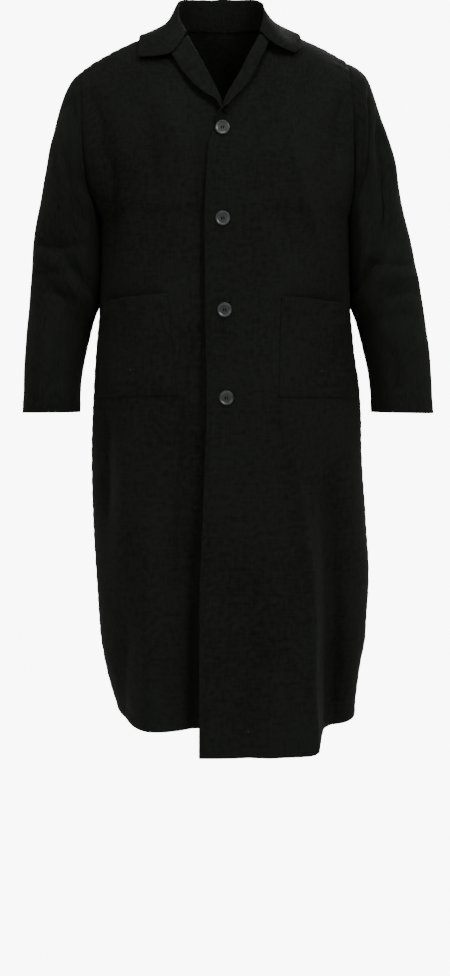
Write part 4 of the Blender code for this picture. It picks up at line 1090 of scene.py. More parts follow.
def new_group(name: str, inputs: dict[str, tuple[str, float | None]],
              outputs: dict[str, str]) -> bpy.types.NodeTree:
    """An empty shader group with named sockets."""
    tree = bpy.data.node_groups.new(name, "ShaderNodeTree")
    for label, (kind, value) in inputs.items():
        socket = tree.interface.new_socket(label, in_out="INPUT", socket_type=kind)
        if value is not None:
            socket.default_value = value
    for label, kind in outputs.items():
        tree.interface.new_socket(label, in_out="OUTPUT", socket_type=kind)
    return tree


def canvas_group() -> bpy.types.NodeTree:
    """The canvas: woven ribs on the flat cloth, slubs, a faint nap, worn tone and lint specks."""
    tree = new_group(
        "CanvasWeave",
        {"Flat": ("NodeSocketVector", None), "Place": ("NodeSocketVector", None),
         "Ribs": ("NodeSocketFloat", 900.0)},
        {"Height": "NodeSocketFloat", "Tone": "NodeSocketFloat", "Lint": "NodeSocketFloat"})
    nodes = Nodes(tree)
    given = nodes.add("NodeGroupInput").outputs
    split = nodes.add("ShaderNodeSeparateXYZ", {0: given["Flat"]}).outputs
    across = nodes.math("MULTIPLY", split["X"], given["Ribs"])
    along = nodes.math("MULTIPLY", split["Y"], given["Ribs"])
    # Twill: warp ribs that step along with the weft
    diagonal = nodes.math("ADD", across, along)
    rib = nodes.math("SINE", nodes.math("MULTIPLY", diagonal, 2 * math.pi * 0.62))
    weft = nodes.math("SINE", nodes.math("MULTIPLY", along, 2 * math.pi * 1.3))
    grain = nodes.noise(given["Flat"], 650.0, 3.0)
    slub = nodes.drawn_out(given["Flat"], (420.0, 26.0, 1.0))
    pick = nodes.drawn_out(given["Flat"], (22.0, 380.0, 1.0))
    threads = nodes.math("ADD", slub, pick)
    height = nodes.weigh((rib, 0.22), (weft, 0.10), (grain, 1.1), (threads, 0.8))
    cloud = nodes.noise(given["Place"], 7.0, 4.0)
    mottle = nodes.noise(given["Flat"], 120.0, 4.0)
    tone = nodes.weigh((cloud, 0.30), (mottle, 0.45), (threads, 0.25))
    speck = nodes.add("ShaderNodeTexVoronoi", {"Vector": given["Flat"], "Scale": 26.0, "Randomness": 1.0})
    close = nodes.math("LESS_THAN", speck.outputs["Distance"], 0.024)
    chance = nodes.add("ShaderNodeSeparateColor", {0: speck.outputs["Color"]}).outputs[0]
    lint = nodes.math("MULTIPLY", close, nodes.math("GREATER_THAN", chance, 0.72))
    nodes.add("NodeGroupOutput", {"Height": height, "Tone": tone, "Lint": lint})
    return tree


@dataclass(frozen=True)
class ClothFinish:
    """Black cotton canvas, washed and slightly napped."""

    name: str = "black_canvas"
    dark: tuple[float, float, float] = (0.0025, 0.0029, 0.0023)
    pale: tuple[float, float, float] = (0.0083, 0.0094, 0.0076)
    lint: tuple[float, float, float] = (0.070, 0.074, 0.068)
    roughness: float = 0.93
    specular: float = 0.020
    sheen: float = 0.008
    sheen_roughness: float = 0.45
    relief: float = 0.00022
    relief_strength: float = 0.8
    ribs: float = 950.0

    def build(self, weave: bpy.types.NodeTree) -> bpy.types.Material:
        """The finished material."""
        material, nodes, shader = new_material(self.name)
        flat = nodes.add("ShaderNodeUVMap", uv_map="flat_cloth").outputs[0]
        place = nodes.add("ShaderNodeTexCoord").outputs["Object"]
        canvas = nodes.add("ShaderNodeGroup", node_tree=weave)
        nodes.feed(canvas, {"Flat": flat, "Place": place, "Ribs": self.ribs})
        worn = nodes.ramp(canvas.outputs["Tone"], (0.36, 0.68), (self.dark, self.pale))
        mix = nodes.add("ShaderNodeMix", {0: canvas.outputs["Lint"], 6: worn}, data_type="RGBA")
        mix.inputs[7].default_value = (*self.lint, 1.0)
        bump = nodes.add("ShaderNodeBump", {
            "Height": canvas.outputs["Height"], "Distance": self.relief, "Strength": self.relief_strength})
        nodes.feed(shader, {
            "Base Color": mix.outputs[2], "Normal": bump.outputs[0], "Roughness": self.roughness,
            "Specular IOR Level": self.specular, "Sheen Weight": self.sheen,
            "Sheen Roughness": self.sheen_roughness})
        return material


@dataclass(frozen=True)
class ButtonFinish:
    """Dark grey moulded button with a faint cloud in it and fine turning marks."""

    name: str = "grey_button"
    dark: tuple[float, float, float] = (0.0045, 0.0053, 0.0052)
    pale: tuple[float, float, float] = (0.0125, 0.0140, 0.0140)
    roughness: float = 0.42
    coat: float = 0.15
    relief: float = 0.00005

    def build(self) -> bpy.types.Material:
        """The finished material."""
        material, nodes, shader = new_material(self.name)
        place = nodes.add("ShaderNodeTexCoord").outputs["Object"]
        cloud = nodes.ramp(nodes.noise(place, 260.0, 5.0), (0.35, 0.65), (self.dark, self.pale))
        fine = nodes.noise(place, 900.0, 2.0)
        rough = nodes.add("ShaderNodeMapRange", {0: fine, 3: self.roughness - 0.08, 4: self.roughness + 0.1})
        bump = nodes.add("ShaderNodeBump", {"Height": fine, "Distance": self.relief})
        nodes.feed(shader, {"Base Color": cloud, "Roughness": rough.outputs[0], "Normal": bump.outputs[0],
                            "Coat Weight": self.coat})
        return material


@dataclass(frozen=True)
class ThreadFinish:
    """Black sewing thread, a little glossier than the canvas and twisted."""

    name: str = "black_thread"
    dark: tuple[float, float, float] = (0.0030, 0.0032, 0.0028)
    pale: tuple[float, float, float] = (0.0075, 0.0080, 0.0070)
    roughness: float = 0.75
    specular: float = 0.06
    relief: float = 0.0001

    def build(self) -> bpy.types.Material:
        """The finished material."""
        material, nodes, shader = new_material(self.name)
        place = nodes.add("ShaderNodeTexCoord").outputs["Object"]
        twist = nodes.add("ShaderNodeTexWave", {"Vector": place, "Scale": 900.0, "Distortion": 2.0},
                          bands_direction="DIAGONAL").outputs["Fac"]
        mix = nodes.add("ShaderNodeMix", {0: twist}, data_type="RGBA")
        mix.inputs[6].default_value = (*self.dark, 1.0)
        mix.inputs[7].default_value = (*self.pale, 1.0)
        bump = nodes.add("ShaderNodeBump", {"Height": twist, "Distance": self.relief})
        nodes.feed(shader, {"Base Color": mix.outputs[2], "Normal": bump.outputs[0],
                            "Roughness": self.roughness, "Specular IOR Level": self.specular})
        return material


@dataclass(frozen=True)
class Finishes:
    """The materials that the coat's pieces share."""

    cloth: bpy.types.Material
    button: bpy.types.Material
    thread: bpy.types.Material


# Stitches, set along each row by geometry nodes


@dataclass(frozen=True)
class StitchRow:
    """Size of the stitches and their spacing."""

    pitch: float = 0.0042
    length: float = 0.0030
    radius: float = 0.00030

    def tree(self, thread: bpy.types.Material) -> bpy.types.NodeTree:
        """Nodes that set a stitch at even steps along every line of a mesh."""
        tree = bpy.data.node_groups.new("StitchRows", "GeometryNodeTree")
        sockets = {"Geometry": "Geometry", "Pitch": "Float", "Length": "Float", "Radius": "Float",
                   "Thread": "Material"}
        for label, kind in sockets.items():
            tree.interface.new_socket(label, in_out="INPUT", socket_type="NodeSocket" + kind)
        tree.interface.new_socket("Geometry", in_out="OUTPUT", socket_type="NodeSocketGeometry")
        nodes = Nodes(tree)
        given = nodes.add("NodeGroupInput").outputs
        lines = nodes.add("GeometryNodeMeshToCurve", {"Mesh": given["Geometry"]})
        even = nodes.add("GeometryNodeResampleCurve", {"Curve": lines.outputs[0], "Length": given["Pitch"]},
                         mode="LENGTH")
        tangent = nodes.add("GeometryNodeInputTangent").outputs[0]
        turn = nodes.add("FunctionNodeAlignRotationToVector", {"Vector": tangent}, axis="Z")
        stitch = nodes.add("GeometryNodeMeshUVSphere", {"Segments": 6, "Rings": 5, "Radius": 1.0})
        half = nodes.math("MULTIPLY", given["Length"], 0.5)
        jitter = nodes.add("FunctionNodeRandomValue", {2: 0.85, 3: 1.1, "Seed": 7}, data_type="FLOAT")
        reach = nodes.math("MULTIPLY", half, jitter.outputs[1])
        size = nodes.add("ShaderNodeCombineXYZ", {0: given["Radius"], 1: given["Radius"], 2: reach})
        placed = nodes.add("GeometryNodeInstanceOnPoints", {
            "Points": even.outputs[0], "Instance": stitch.outputs[0],
            "Rotation": turn.outputs[0], "Scale": size.outputs[0]})
        solid = nodes.add("GeometryNodeRealizeInstances", {0: placed.outputs[0]})
        dressed = nodes.add("GeometryNodeSetMaterial", {
            "Geometry": solid.outputs[0], "Material": given["Thread"]})
        nodes.add("NodeGroupOutput", {0: dressed.outputs[0]})
        return tree

    def sew(self, name: str, lines: Sequence[Array], tree: bpy.types.NodeTree,
            thread: bpy.types.Material) -> bpy.types.Object:
        """Makes the stitches of several rows as one plain mesh.

        Args:
            name: Name of the piece.
            lines: The rows, each as points on the cloth.
            tree: The stitch nodes.
            thread: The thread's material.

        Returns:
            The new object, with no modifier left on it.
        """
        points: list[list[float]] = []
        edges: list[tuple[int, int]] = []
        for line in lines:
            first = len(points)
            points.extend(line.tolist())
            edges.extend((place, place + 1) for place in range(first, len(points) - 1))
        rows = add_mesh(name + "_rows", points, [], edges)
        modifier = rows.modifiers.new("stitches", "NODES")
        modifier.node_group = tree
        values = {"Pitch": self.pitch, "Length": self.length, "Radius": self.radius, "Thread": thread}
        for item in tree.interface.items_tree:
            if item.in_out == "INPUT" and item.name in values:
                modifier[item.identifier] = values[item.name]
        made = settle(rows, name)
        if not made.materials:
            made.materials.append(thread)
        made.shade_smooth()
        bpy.data.objects.remove(rows, do_unlink=True)
        return add_object(name, made)


# The coat's pieces


@dataclass(frozen=True)
class Cut:
    """The flat size that a piece is cut to, and its area where it isn't a rectangle."""

    width: float
    length: float
    area: float


@dataclass(frozen=True)
class Corner:
    """A pocket corner seen from the front."""

    x: float
    z: float


class Piece:
    """Ways that every piece of the coat has."""

    def declare(self, piece: bpy.types.Object, slot: str, node: str = "") -> None:
        """Rides a piece on the coat's one body and hides the solid that it stands for."""
        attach(piece, "root")
        if node:
            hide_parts(node)

    def declare_cloth(self, piece: bpy.types.Object, node: str, cut: Cut, on: Sequence[str] = ()) -> None:
        """Rides a piece of cloth on the coat's one body and hides its solid."""
        self.declare(piece, "cloth", node)


@dataclass
class Shell(Piece):
    """The back, fronts, sleeves and collar, which share their seams."""

    form: BodyForm
    size: GridSize
    sewing: Sewing
    hem_width: float = 0.0165
    cuff_width: float = 0.0190
    edge_stitch: float = 0.0065
    facing_x: tuple[tuple[float, float], ...] = (
        (-1.24, 0.0340), (-0.90, 0.0355), (-0.80, 0.0405), (-0.55, 0.0440), (-0.36, 0.0450), (-0.20, 0.0470))
    facing_top: float = -0.235
    gap: float = 0.0001
    double: float = 0.0005
    hem_step: float = 0.003
    head_rise: float = 0.0006
    head_place: float = 0.014
    head_width: float = 0.010
    press_top: float = -0.270
    press_bottom: float = -0.510
    press_fade: float = 0.050
    press_depth: float = 0.011
    press_lean: float = 1.7
    press_start: float = 0.25
    press_least: float = 0.0003
    press_reach: float = 0.05
    press_clear: float = 0.0001

    def rises(self) -> Array:
        """Rows of the body panels, from the hem up to the shoulder seam."""
        low = np.linspace(-1, 0, self.size.lower_rows, endpoint=False)
        return np.concatenate([low, np.linspace(0, 1, self.size.upper_rows + 1)])

    def roll_frames(self, side: Side, rise: Array) -> tuple[Array, Array, Array, Array]:
        """Along the roll line: points, the way out past it, outward normals and the way up."""
        step = 0.004
        start = np.zeros_like(rise)
        points = self.form.front(side, start, rise)
        inward = unit(self.form.front(side, start + 0.02, rise) - points)
        along = unit(self.form.front(side, start, rise + step) - self.form.front(side, start, rise - step))
        normal = unit(np.cross(inward, along)) * side.value
        return points, np.cross(normal, along) * side.value, normal, along

    def flap(self, side: Side, rise: Array) -> Array:
        """The cloth past the roll line, bent outwards round a small radius."""
        form, count, bend_count = self.form, self.size.flap_columns, self.size.flap_bend_columns
        points, past, normal, along = self.roll_frames(side, rise)
        hem = form.hem[0].over
        low_z = form.underarm_z + np.clip(-rise, 0, 1) * (hem - form.underarm_z)
        turned = rise > 0
        low_width = column(form.opening, form.lap_word(side) + "_flap", low_z)
        width = np.where(turned, column(form.roll(side), "flap", rise), low_width)
        angle = np.radians(np.where(turned, column(form.roll(side), "angle", rise), 0.0))
        slant = np.where(turned, column(form.roll(side), "slant", rise), 0.0)
        arc = np.minimum(form.roll_radius * angle, 0.8 * width)
        even = width[:, None] * np.arange(1, count + 1) / count
        bent = arc[:, None] * np.arange(1, bend_count + 1) / bend_count
        rest_share = np.arange(1, count - bend_count + 1) / (count - bend_count)
        bent = np.concatenate([bent, arc[:, None] + (width - arc)[:, None] * rest_share], 1)
        lengths = blend(even, bent, ease(angle / (math.pi / 2))[:, None])
        turn = np.minimum(lengths / form.roll_radius, angle[:, None])
        rest = lengths - form.roll_radius * turn
        forward = form.roll_radius * np.sin(turn) + rest * np.cos(turn)
        out = form.roll_radius * (1 - np.cos(turn)) + rest * np.sin(turn)
        grid = (points[:, None] + past[:, None] * forward[..., None] + normal[:, None] * out[..., None]
                - along[:, None] * (slant[:, None] * lengths / width[:, None])[..., None])
        return grid[:, ::-1]

    def front(self, side: Side) -> ClothGrid:
        """A front from its free edge to its side seam."""
        rise = self.rises()
        across = np.linspace(0, 1, self.size.front_columns + 1)
        body = self.form.front(side, across[None, :], rise[:, None])
        points = np.concatenate([self.flap(side, rise), body], 1)
        present = np.ones((points.shape[0] - 1, points.shape[1] - 1), bool)
        present[self.size.gorge:, :self.size.flap_columns] = False
        return ClothGrid(points, side.value, present=present)

    def back_across(self) -> Array:
        """Columns of the back, closer together at the neck."""
        neck, shoulder = self.size.back_neck_columns, self.size.back_shoulder_columns
        share = self.form.back_neck_share
        half = np.concatenate([share * np.arange(neck) / neck,
                               share + (1 - share) * np.arange(shoulder + 1) / shoulder])
        return np.concatenate([-half[:0:-1], half])

    def make(self) -> dict[str, ClothGrid]:
        """All the shells, joined along their seams and creased."""
        fronts = {side: self.front(side) for side in Side}
        back = ClothGrid(self.form.back(self.back_across()[None, :], self.rises()[:, None]), -1)
        for side in Side:
            edge = 0 if side is Side.LEFT else -1
            low = self.rises() <= 0
            back.points[low, edge] = fronts[side].points[low, -1]
        back.normals = back.own_normals()
        sleeves = {side: self.sleeve(side, fronts[side], back) for side in Side}
        collar = self.collar(fronts, back)
        for side in Side:
            self.crease_front(side, fronts[side])
            self.crease_sleeve(side, sleeves[side])
        self.crease_back(back)
        self.crease_collar(collar)
        self.match_seams(fronts, back, sleeves, collar)
        for side in Side:
            self.press_sleeve(side, sleeves[side], (fronts[side], back))
        return {"front_left": fronts[Side.RIGHT], "front_right": fronts[Side.LEFT], "back": back,
                "sleeve_left": sleeves[Side.RIGHT], "sleeve_right": sleeves[Side.LEFT], "collar": collar}

    def sleeve(self, side: Side, front: ClothGrid, back: ClothGrid) -> ClothGrid:
        """A sleeve that grows out of the armhole seam."""
        first = self.size.lower_rows
        edge = 0 if side is Side.LEFT else -1
        share = np.sin(np.linspace(0, 1, self.size.upper_rows + 1) * math.pi / 2)
        angles = np.arccos(np.clip(2 * share - 1, -1, 1))
        loop = np.concatenate([front.points[first:, -1], back.points[first:, edge][::-1][1:-1]])
        turns = np.concatenate([-angles, angles[::-1][1:-1]])
        points = self.form.sleeve_grid(side, loop, turns, self.size.sleeve_rings)
        return ClothGrid(points, -side.value, closed=True)

    def neck_columns(self) -> Array:
        """Columns of the back between the neck points."""
        middle = self.size.back_neck_columns + self.size.back_shoulder_columns
        return np.arange(middle - self.size.back_neck_columns + 1, middle + self.size.back_neck_columns)

    def collar(self, fronts: dict[Side, ClothGrid], back: ClothGrid) -> ClothGrid:
        """The collar on the neck seam."""
        inner = self.neck_columns()
        edges = {side: fronts[side].points[self.size.gorge:, self.size.flap_columns] for side in Side}
        neck = np.concatenate([edges[Side.LEFT], back.points[-1, inner], edges[Side.RIGHT][::-1]])
        front_spans = np.linspace(0, 1, len(edges[Side.LEFT]))
        back_spans = 2 + self.back_across()[inner] / self.form.back_neck_share
        spans = np.concatenate([front_spans, back_spans, 3 + front_spans])
        return ClothGrid(self.form.collar_grid(neck, spans, self.size.collar_places), 1)

    def crease_front(self, side: Side, grid: ClothGrid) -> None:
        """Creases, seams, hem and topstitching of a front."""
        across, up = grid.lengths(1), grid.lengths(0)
        flap = self.size.flap_columns
        to_side = across[:, -1:] - across
        to_shoulder = (up[-1:] - up) + np.where(np.arange(across.shape[1]) < flap, 1.0, 0.0)[None, :]
        beside_neck = np.arange(len(across))[:, None] >= self.size.gorge
        to_neck = np.where(beside_neck, across - across[:, flap:flap + 1], 1.0)
        creases = OVER_FRONT_CREASES if side is Side.RIGHT else UNDER_FRONT_CREASES
        height = sum(crease.heights(grid.points, grid.normals) for crease in creases)
        height = height + Wobble(3 + side.value).heights(grid.points)
        calm = ease(across / 0.030) if side is Side.RIGHT else ease((across - 0.01) / 0.060)
        free = self.sewing.free(to_side) * self.sewing.free(to_shoulder) * self.sewing.free(np.abs(to_neck))
        high = ease((grid.points[..., 2] + 0.30) / 0.10)
        flap_free = np.where(np.arange(across.shape[1]) < flap, 1 - high, 1.0)
        height = height * free * blend(0.25, 1.0, calm) * flap_free
        sew = self.sewing
        height += sew.seam(to_side, up) + sew.seam(to_shoulder, across)
        height += np.where(to_neck < 0.9, sew.seam(np.abs(to_neck), up), 0.0)
        height += sew.topstitch(up - self.hem_width, across) + self.turned_up(up - self.hem_width)
        height += sew.topstitch(across - self.edge_stitch, up)
        if side is Side.RIGHT:
            past = grid.points[..., 0] - self.facing_line(grid.points[..., 2])
            height += sew.topstitch(past, up) * (grid.points[..., 2] < self.facing_top)
        grid.move(height)

    def turned_up(self, past: Array) -> Array:
        """How much thicker a hem or cuff is, up to its stitch line."""
        return self.double * (1 - ease(past / self.hem_step))

    def facing_line(self, z: Array) -> Array:
        """Where the facing is stitched through the over front."""
        return curve([row[0] for row in self.facing_x], [row[1] for row in self.facing_x], z)

    def crease_back(self, grid: ClothGrid) -> None:
        """Creases, seams and hem of the back."""
        across, up = grid.lengths(1), grid.lengths(0)
        to_side = np.minimum(across, across[:, -1:] - across)
        to_top = up[-1:] - up
        sew = self.sewing
        height = sum(crease.heights(grid.points, grid.normals) for crease in BACK_CREASES)
        height = (height + Wobble(11).heights(grid.points)) * sew.free(to_side) * sew.free(to_top)
        height += sew.seam(to_side, up) + sew.seam(to_top, across)
        height += sew.topstitch(up - self.hem_width, across) + self.turned_up(up - self.hem_width)
        grid.move(height)

    def crease_sleeve(self, side: Side, grid: ClothGrid) -> None:
        """Creases, armhole seam and cuff of a sleeve."""
        round_it, along = grid.lengths(1), grid.lengths(0)
        to_cuff = along[-1:] - along
        sew = self.sewing
        creases = RIGHT_SLEEVE_CREASES if side is Side.RIGHT else LEFT_SLEEVE_CREASES
        height = sum(crease.heights(grid.points, grid.normals) for crease in creases)
        height = (height + Wobble(21 + side.value).heights(grid.points)) * sew.free(along)
        # The sleeve head stands a little proud over its turned-in allowance
        height += (0.5 * sew.seam(along, round_it)
                   + self.head_rise * np.exp(-((along - self.head_place) / self.head_width) ** 2))
        height += sew.topstitch(to_cuff - self.cuff_width, round_it)
        height += self.turned_up(to_cuff - self.cuff_width)
        # Sleeve seam from the underarm to the cuff
        height += sew.seam(np.minimum(round_it, round_it[:, -1:] - round_it + 0.003), along) * 0.8
        grid.move(height)

    def press_sleeve(self, side: Side, sleeve: ClothGrid, body: Sequence[ClothGrid]) -> None:
        """Lets the inner side of a hanging sleeve rest against the body's side.

        Args:
            side: The sleeve's side.
            sleeve: The sleeve, already sewn in.
            body: The front and the back that it may rest on.
        """
        trees = [panel.surface() for panel in body]
        z = sleeve.points[..., 2]
        window = ease((self.press_top - z) / self.press_fade)
        window = window * ease((z - self.press_bottom) / self.press_fade)
        inward = np.clip(-sleeve.normals[..., 0] * side.value * self.press_lean - self.press_start, 0, 1)
        height = self.press_depth * window * inward
        for row, place in np.argwhere(height > self.press_least):
            start = Vector(sleeve.points[row, place])
            way = Vector(sleeve.normals[row, place])
            for tree in trees:
                distance = tree.ray_cast(start, way, self.press_reach)[3]
                if distance is not None:
                    free = max(distance - self.form.cloth - self.press_clear, 0.0)
                    height[row, place] = min(height[row, place], free)
        seam_normals = sleeve.normals[0].copy()
        sleeve.move(height)
        sleeve.normals[0] = seam_normals

    def crease_collar(self, grid: ClothGrid) -> None:
        """Soft unevenness, topstitching and the neck seam of the collar."""
        along, up = grid.lengths(1), grid.lengths(0)
        to_edge = up[-1:] - up
        to_end = np.minimum(along, along[:, -1:] - along)
        sew = self.sewing
        height = Wobble(31, amplitude=0.0006, shortest=0.03, longest=0.09).heights(grid.points) * sew.free(up)
        near = np.minimum(to_edge, np.where(up > 0.035, to_end, 1.0))
        height += sew.topstitch(near - self.edge_stitch, along) + sew.seam(up, along) * 0.5
        grid.move(height)

    def match_seams(self, fronts: dict[Side, ClothGrid], back: ClothGrid, sleeves: dict[Side, ClothGrid],
                    collar: ClothGrid) -> None:
        """Brings each pair of sewn edges to one line, a hair apart, with one normal."""
        first, flap, gorge = self.size.lower_rows, self.size.flap_columns, self.size.gorge
        neck = self.size.back_neck_columns
        middle = neck + self.size.back_shoulder_columns
        for side in Side:
            edge = 0 if side is Side.LEFT else back.points.shape[1] - 1
            front, sleeve = fronts[side], sleeves[side]
            columns = middle + side.value * np.arange(neck, middle + 1)
            self.share(front, (slice(0, first + 1), -1), back, (slice(0, first + 1), edge))
            self.share_shoulder(front, (-1, slice(flap, None)), back, (-1, columns))
            body = np.concatenate([front.points[first:, -1], back.points[first:, edge][::-1][1:-1]])
            normals = np.concatenate([front.normals[first:, -1], back.normals[first:, edge][::-1][1:-1]])
            agree = np.clip(0.5 + np.sum(normals * sleeve.normals[0], -1), 0, 1)[:, None]
            seam = unit(normals + sleeve.normals[0] * agree)
            sleeve.points[0] = body + normals * (1 - agree) * (self.form.cloth + 0.0003)
            sleeve.normals[0] = unit(sleeve.normals[0] + normals * agree)
            upper = self.size.upper_rows
            front.normals[first:, -1] = seam[:upper + 1]
            back.normals[first, edge] = seam[0]
            back.normals[first + 1:, edge] = seam[upper:][::-1]
        inner = self.neck_columns()
        count = len(fronts[Side.LEFT].points) - gorge
        places = (
            (fronts[Side.LEFT], (slice(gorge, None), flap), slice(0, count)),
            (back, (-1, inner), slice(count, -count)),
            (fronts[Side.RIGHT], (slice(None, gorge - 1, -1), flap), slice(-count, None)))
        for grid, place, span in places:
            points = (grid.points[place] + collar.points[0, span]) / 2
            grid.points[place] = points
            collar.points[0, span] = points
            seam = unit(grid.normals[place] - collar.normals[0, span])
            grid.normals[place] = seam
            collar.normals[0, span] = -seam
        for side in Side:
            columns = middle + side.value * neck
            back.normals[-1, columns] = fronts[side].normals[-1, flap]
            back.points[-1, columns] = fronts[side].points[-1, flap]
        self.open_seams(fronts, back, sleeves, collar)

    def share(self, first: ClothGrid, first_place: tuple, second: ClothGrid, second_place: tuple) -> None:
        """Gives two sewn edges the same points and normals."""
        points = (first.points[first_place] + second.points[second_place]) / 2
        normals = unit(first.normals[first_place] + second.normals[second_place])
        first.points[first_place] = points
        second.points[second_place] = points
        first.normals[first_place] = normals
        second.normals[second_place] = normals

    def share_shoulder(self, front: ClothGrid, front_place: tuple, back: ClothGrid,
                       back_place: tuple) -> None:
        """Gives the two edges of a shoulder seam, whose columns differ, one line and one normal."""
        ends = {"front": (front, front_place), "back": (back, back_place)}
        lines, normals = {}, {}
        for name, (grid, place) in ends.items():
            lines[name] = grid.points[place].copy()
            normals[name] = grid.normals[place].copy()
        for name, other in (("front", "back"), ("back", "front")):
            grid, place = ends[name]
            at = np.linspace(0, 1, len(lines[name]))
            share = np.linspace(0, 1, len(lines[other]))
            met = np.stack([np.interp(at, share, lines[other][:, axis]) for axis in range(3)], -1)
            facing = np.stack([np.interp(at, share, normals[other][:, axis]) for axis in range(3)], -1)
            grid.points[place] = (lines[name] + met) / 2
            grid.normals[place] = unit(normals[name] + facing)

    def open_seams(self, fronts: dict[Side, ClothGrid], back: ClothGrid, sleeves: dict[Side, ClothGrid],
                   collar: ClothGrid) -> None:
        """Draws each sewn edge back a hair from its seam."""
        flap, gorge = self.size.flap_columns, self.size.gorge
        for side in Side:
            points = fronts[side].points
            points[:, -1] += unit(points[:, -2] - points[:, -1]) * self.gap
            points[-1, flap:] += unit(points[-2, flap:] - points[-1, flap:]) * self.gap
            points[gorge:, flap] += unit(points[gorge:, flap + 1] - points[gorge:, flap]) * self.gap
            rings = sleeves[side].points
            rings[0] += unit(rings[1] - rings[0]) * self.gap
        points = back.points
        points[:, 0] += unit(points[:, 1] - points[:, 0]) * self.gap
        points[:, -1] += unit(points[:, -2] - points[:, -1]) * self.gap
        points[-1] += unit(points[-2] - points[-1]) * self.gap
        collar.points[0] += unit(collar.points[1] - collar.points[0]) * self.gap

    def rows(self, name: str, grid: ClothGrid) -> list[Array]:
        """The rows of stitches on a piece."""
        across, up = grid.lengths(1), grid.lengths(0)
        lift = self.form.cloth / 2
        lines = []
        if name.startswith("front"):
            lines.append(grid.trace(up, self.hem_width, False, lift))
            edge = grid.trace(across, self.edge_stitch, True, lift)
            lines.append(edge[:self.size.gorge])
            if name == "front_left":
                past = grid.points[..., 0] - self.facing_line(grid.points[..., 2])
                flap = self.size.flap_columns
                body = ClothGrid(grid.points[:, flap:], grid.facing)
                line = body.trace(past[:, flap:], 0.0, True, lift)
                lines.append(line[line[:, 2] < self.facing_top])
        if name == "back":
            lines.append(grid.trace(up, self.hem_width, False, lift))
        if name.startswith("sleeve"):
            line = grid.trace(up[-1:] - up, self.cuff_width, False, lift)
            lines.append(np.concatenate([line, line[:1]]))
        if name == "collar":
            to_edge = up[-1:] - up
            edge = grid.trace(to_edge, self.edge_stitch, False, lift)
            inset = 4
            lines.append(edge[inset:-inset])
            for level in (across, across[:, -1:] - across):
                end = grid.trace(level, self.edge_stitch, True, lift)
                lines.append(end[np.nonzero(up[:, 0] > 0.038)[0][0]:-inset])
        return [line for line in lines if len(line) > 1]


@dataclass
class Pocket(Piece):
    """A patch pocket with a folded and stitched top band."""

    name: str
    side: Side
    inner_top: Corner
    outer_top: Corner
    inner_bottom: Corner
    outer_bottom: Corner
    band: float = 0.0240
    edge_stitch: float = 0.0028
    clearance: float = 0.0006
    gape: float = 0.0085
    gape_reach: float = 0.030
    bulge: float = 0.0030
    bulge_reach: float = 0.030
    band_rise: float = 0.0006
    band_step: float = 0.0025
    rumple_step: float = 0.010
    rumple_edge: float = 0.006
    pulled_in: float = 0.0007
    pulled_width: float = 0.0035

    def grid(self, shell: Shell, front: ClothGrid) -> ClothGrid:
        """The pocket's cloth: the front's own points between the corners, moved out."""
        count = shell.size.pocket_cells
        share = np.linspace(0, 1, count + 1)
        across, down = share[None, :], share[:, None]
        spots = {}
        for axis in ("x", "z"):
            top = blend(getattr(self.inner_top, axis), getattr(self.outer_top, axis), across)
            bottom = blend(getattr(self.inner_bottom, axis), getattr(self.outer_bottom, axis), across)
            spots[axis] = blend(bottom, top, down)
        form, size = shell.form, shell.size
        base_x = column(form.opening, form.lap_word(self.side) + "_x", spots["z"])
        first = form.turn_at(self.side, Face.FRONT, base_x, spots["z"])
        place = (form.turn_at(self.side, Face.FRONT, spots["x"], spots["z"]) - first) / (1 - first)
        hem = column(form.hem, form.lap_word(self.side), place)
        rise = (spots["z"] - form.underarm_z) / (form.underarm_z - hem)
        row = (1 + rise) * size.lower_rows
        where = size.flap_columns + place * size.front_columns
        normal = unit(front.read(row, where, front.normals))
        points = front.read(row, where, front.points)
        grid = ClothGrid(points + normal * (form.cloth + self.clearance), self.side.value)
        width, height = grid.lengths(1), grid.lengths(0)
        to_edge = np.minimum(np.minimum(width, width[:, -1:] - width), height)
        to_top = height[-1:] - height
        sew = shell.sewing
        bulge = self.bulge * ease(to_edge / self.bulge_reach)
        mouth = self.gape * np.sin(across * math.pi) ** 0.8 * np.exp(-to_top / self.gape_reach)
        below_band = to_top - self.band
        band = self.band_rise * (1 - ease(below_band / self.band_step))
        rumpled = Wobble(41, amplitude=0.0013, shortest=0.010, longest=0.034, count=18, upright=1.3)
        band += rumpled.heights(grid.points) * (1 - ease(below_band / self.rumple_step)) * ease(
            to_edge / self.rumple_edge)
        stitched = sew.topstitch(to_edge - self.edge_stitch, height + width) * 0.8
        stitched += sew.topstitch(below_band, width)
        pulled = -self.pulled_in * np.exp(-(to_edge / self.pulled_width) ** 2)
        grid.move(bulge + mouth + band + stitched + pulled)
        return grid

    def rows(self, grid: ClothGrid, lift: float) -> list[Array]:
        """Edge stitches on three sides, and the line under the band."""
        width, height = grid.lengths(1), grid.lengths(0)
        left = grid.trace(width, self.edge_stitch, True, lift)
        right = grid.trace(width[:, -1:] - width, self.edge_stitch, True, lift)
        bottom = grid.trace(height, self.edge_stitch, False, lift)
        band = grid.trace(height[-1:] - height, self.band, False, lift)
        return [left[1:], right[1:], bottom[1:-1], band[1:-1]]


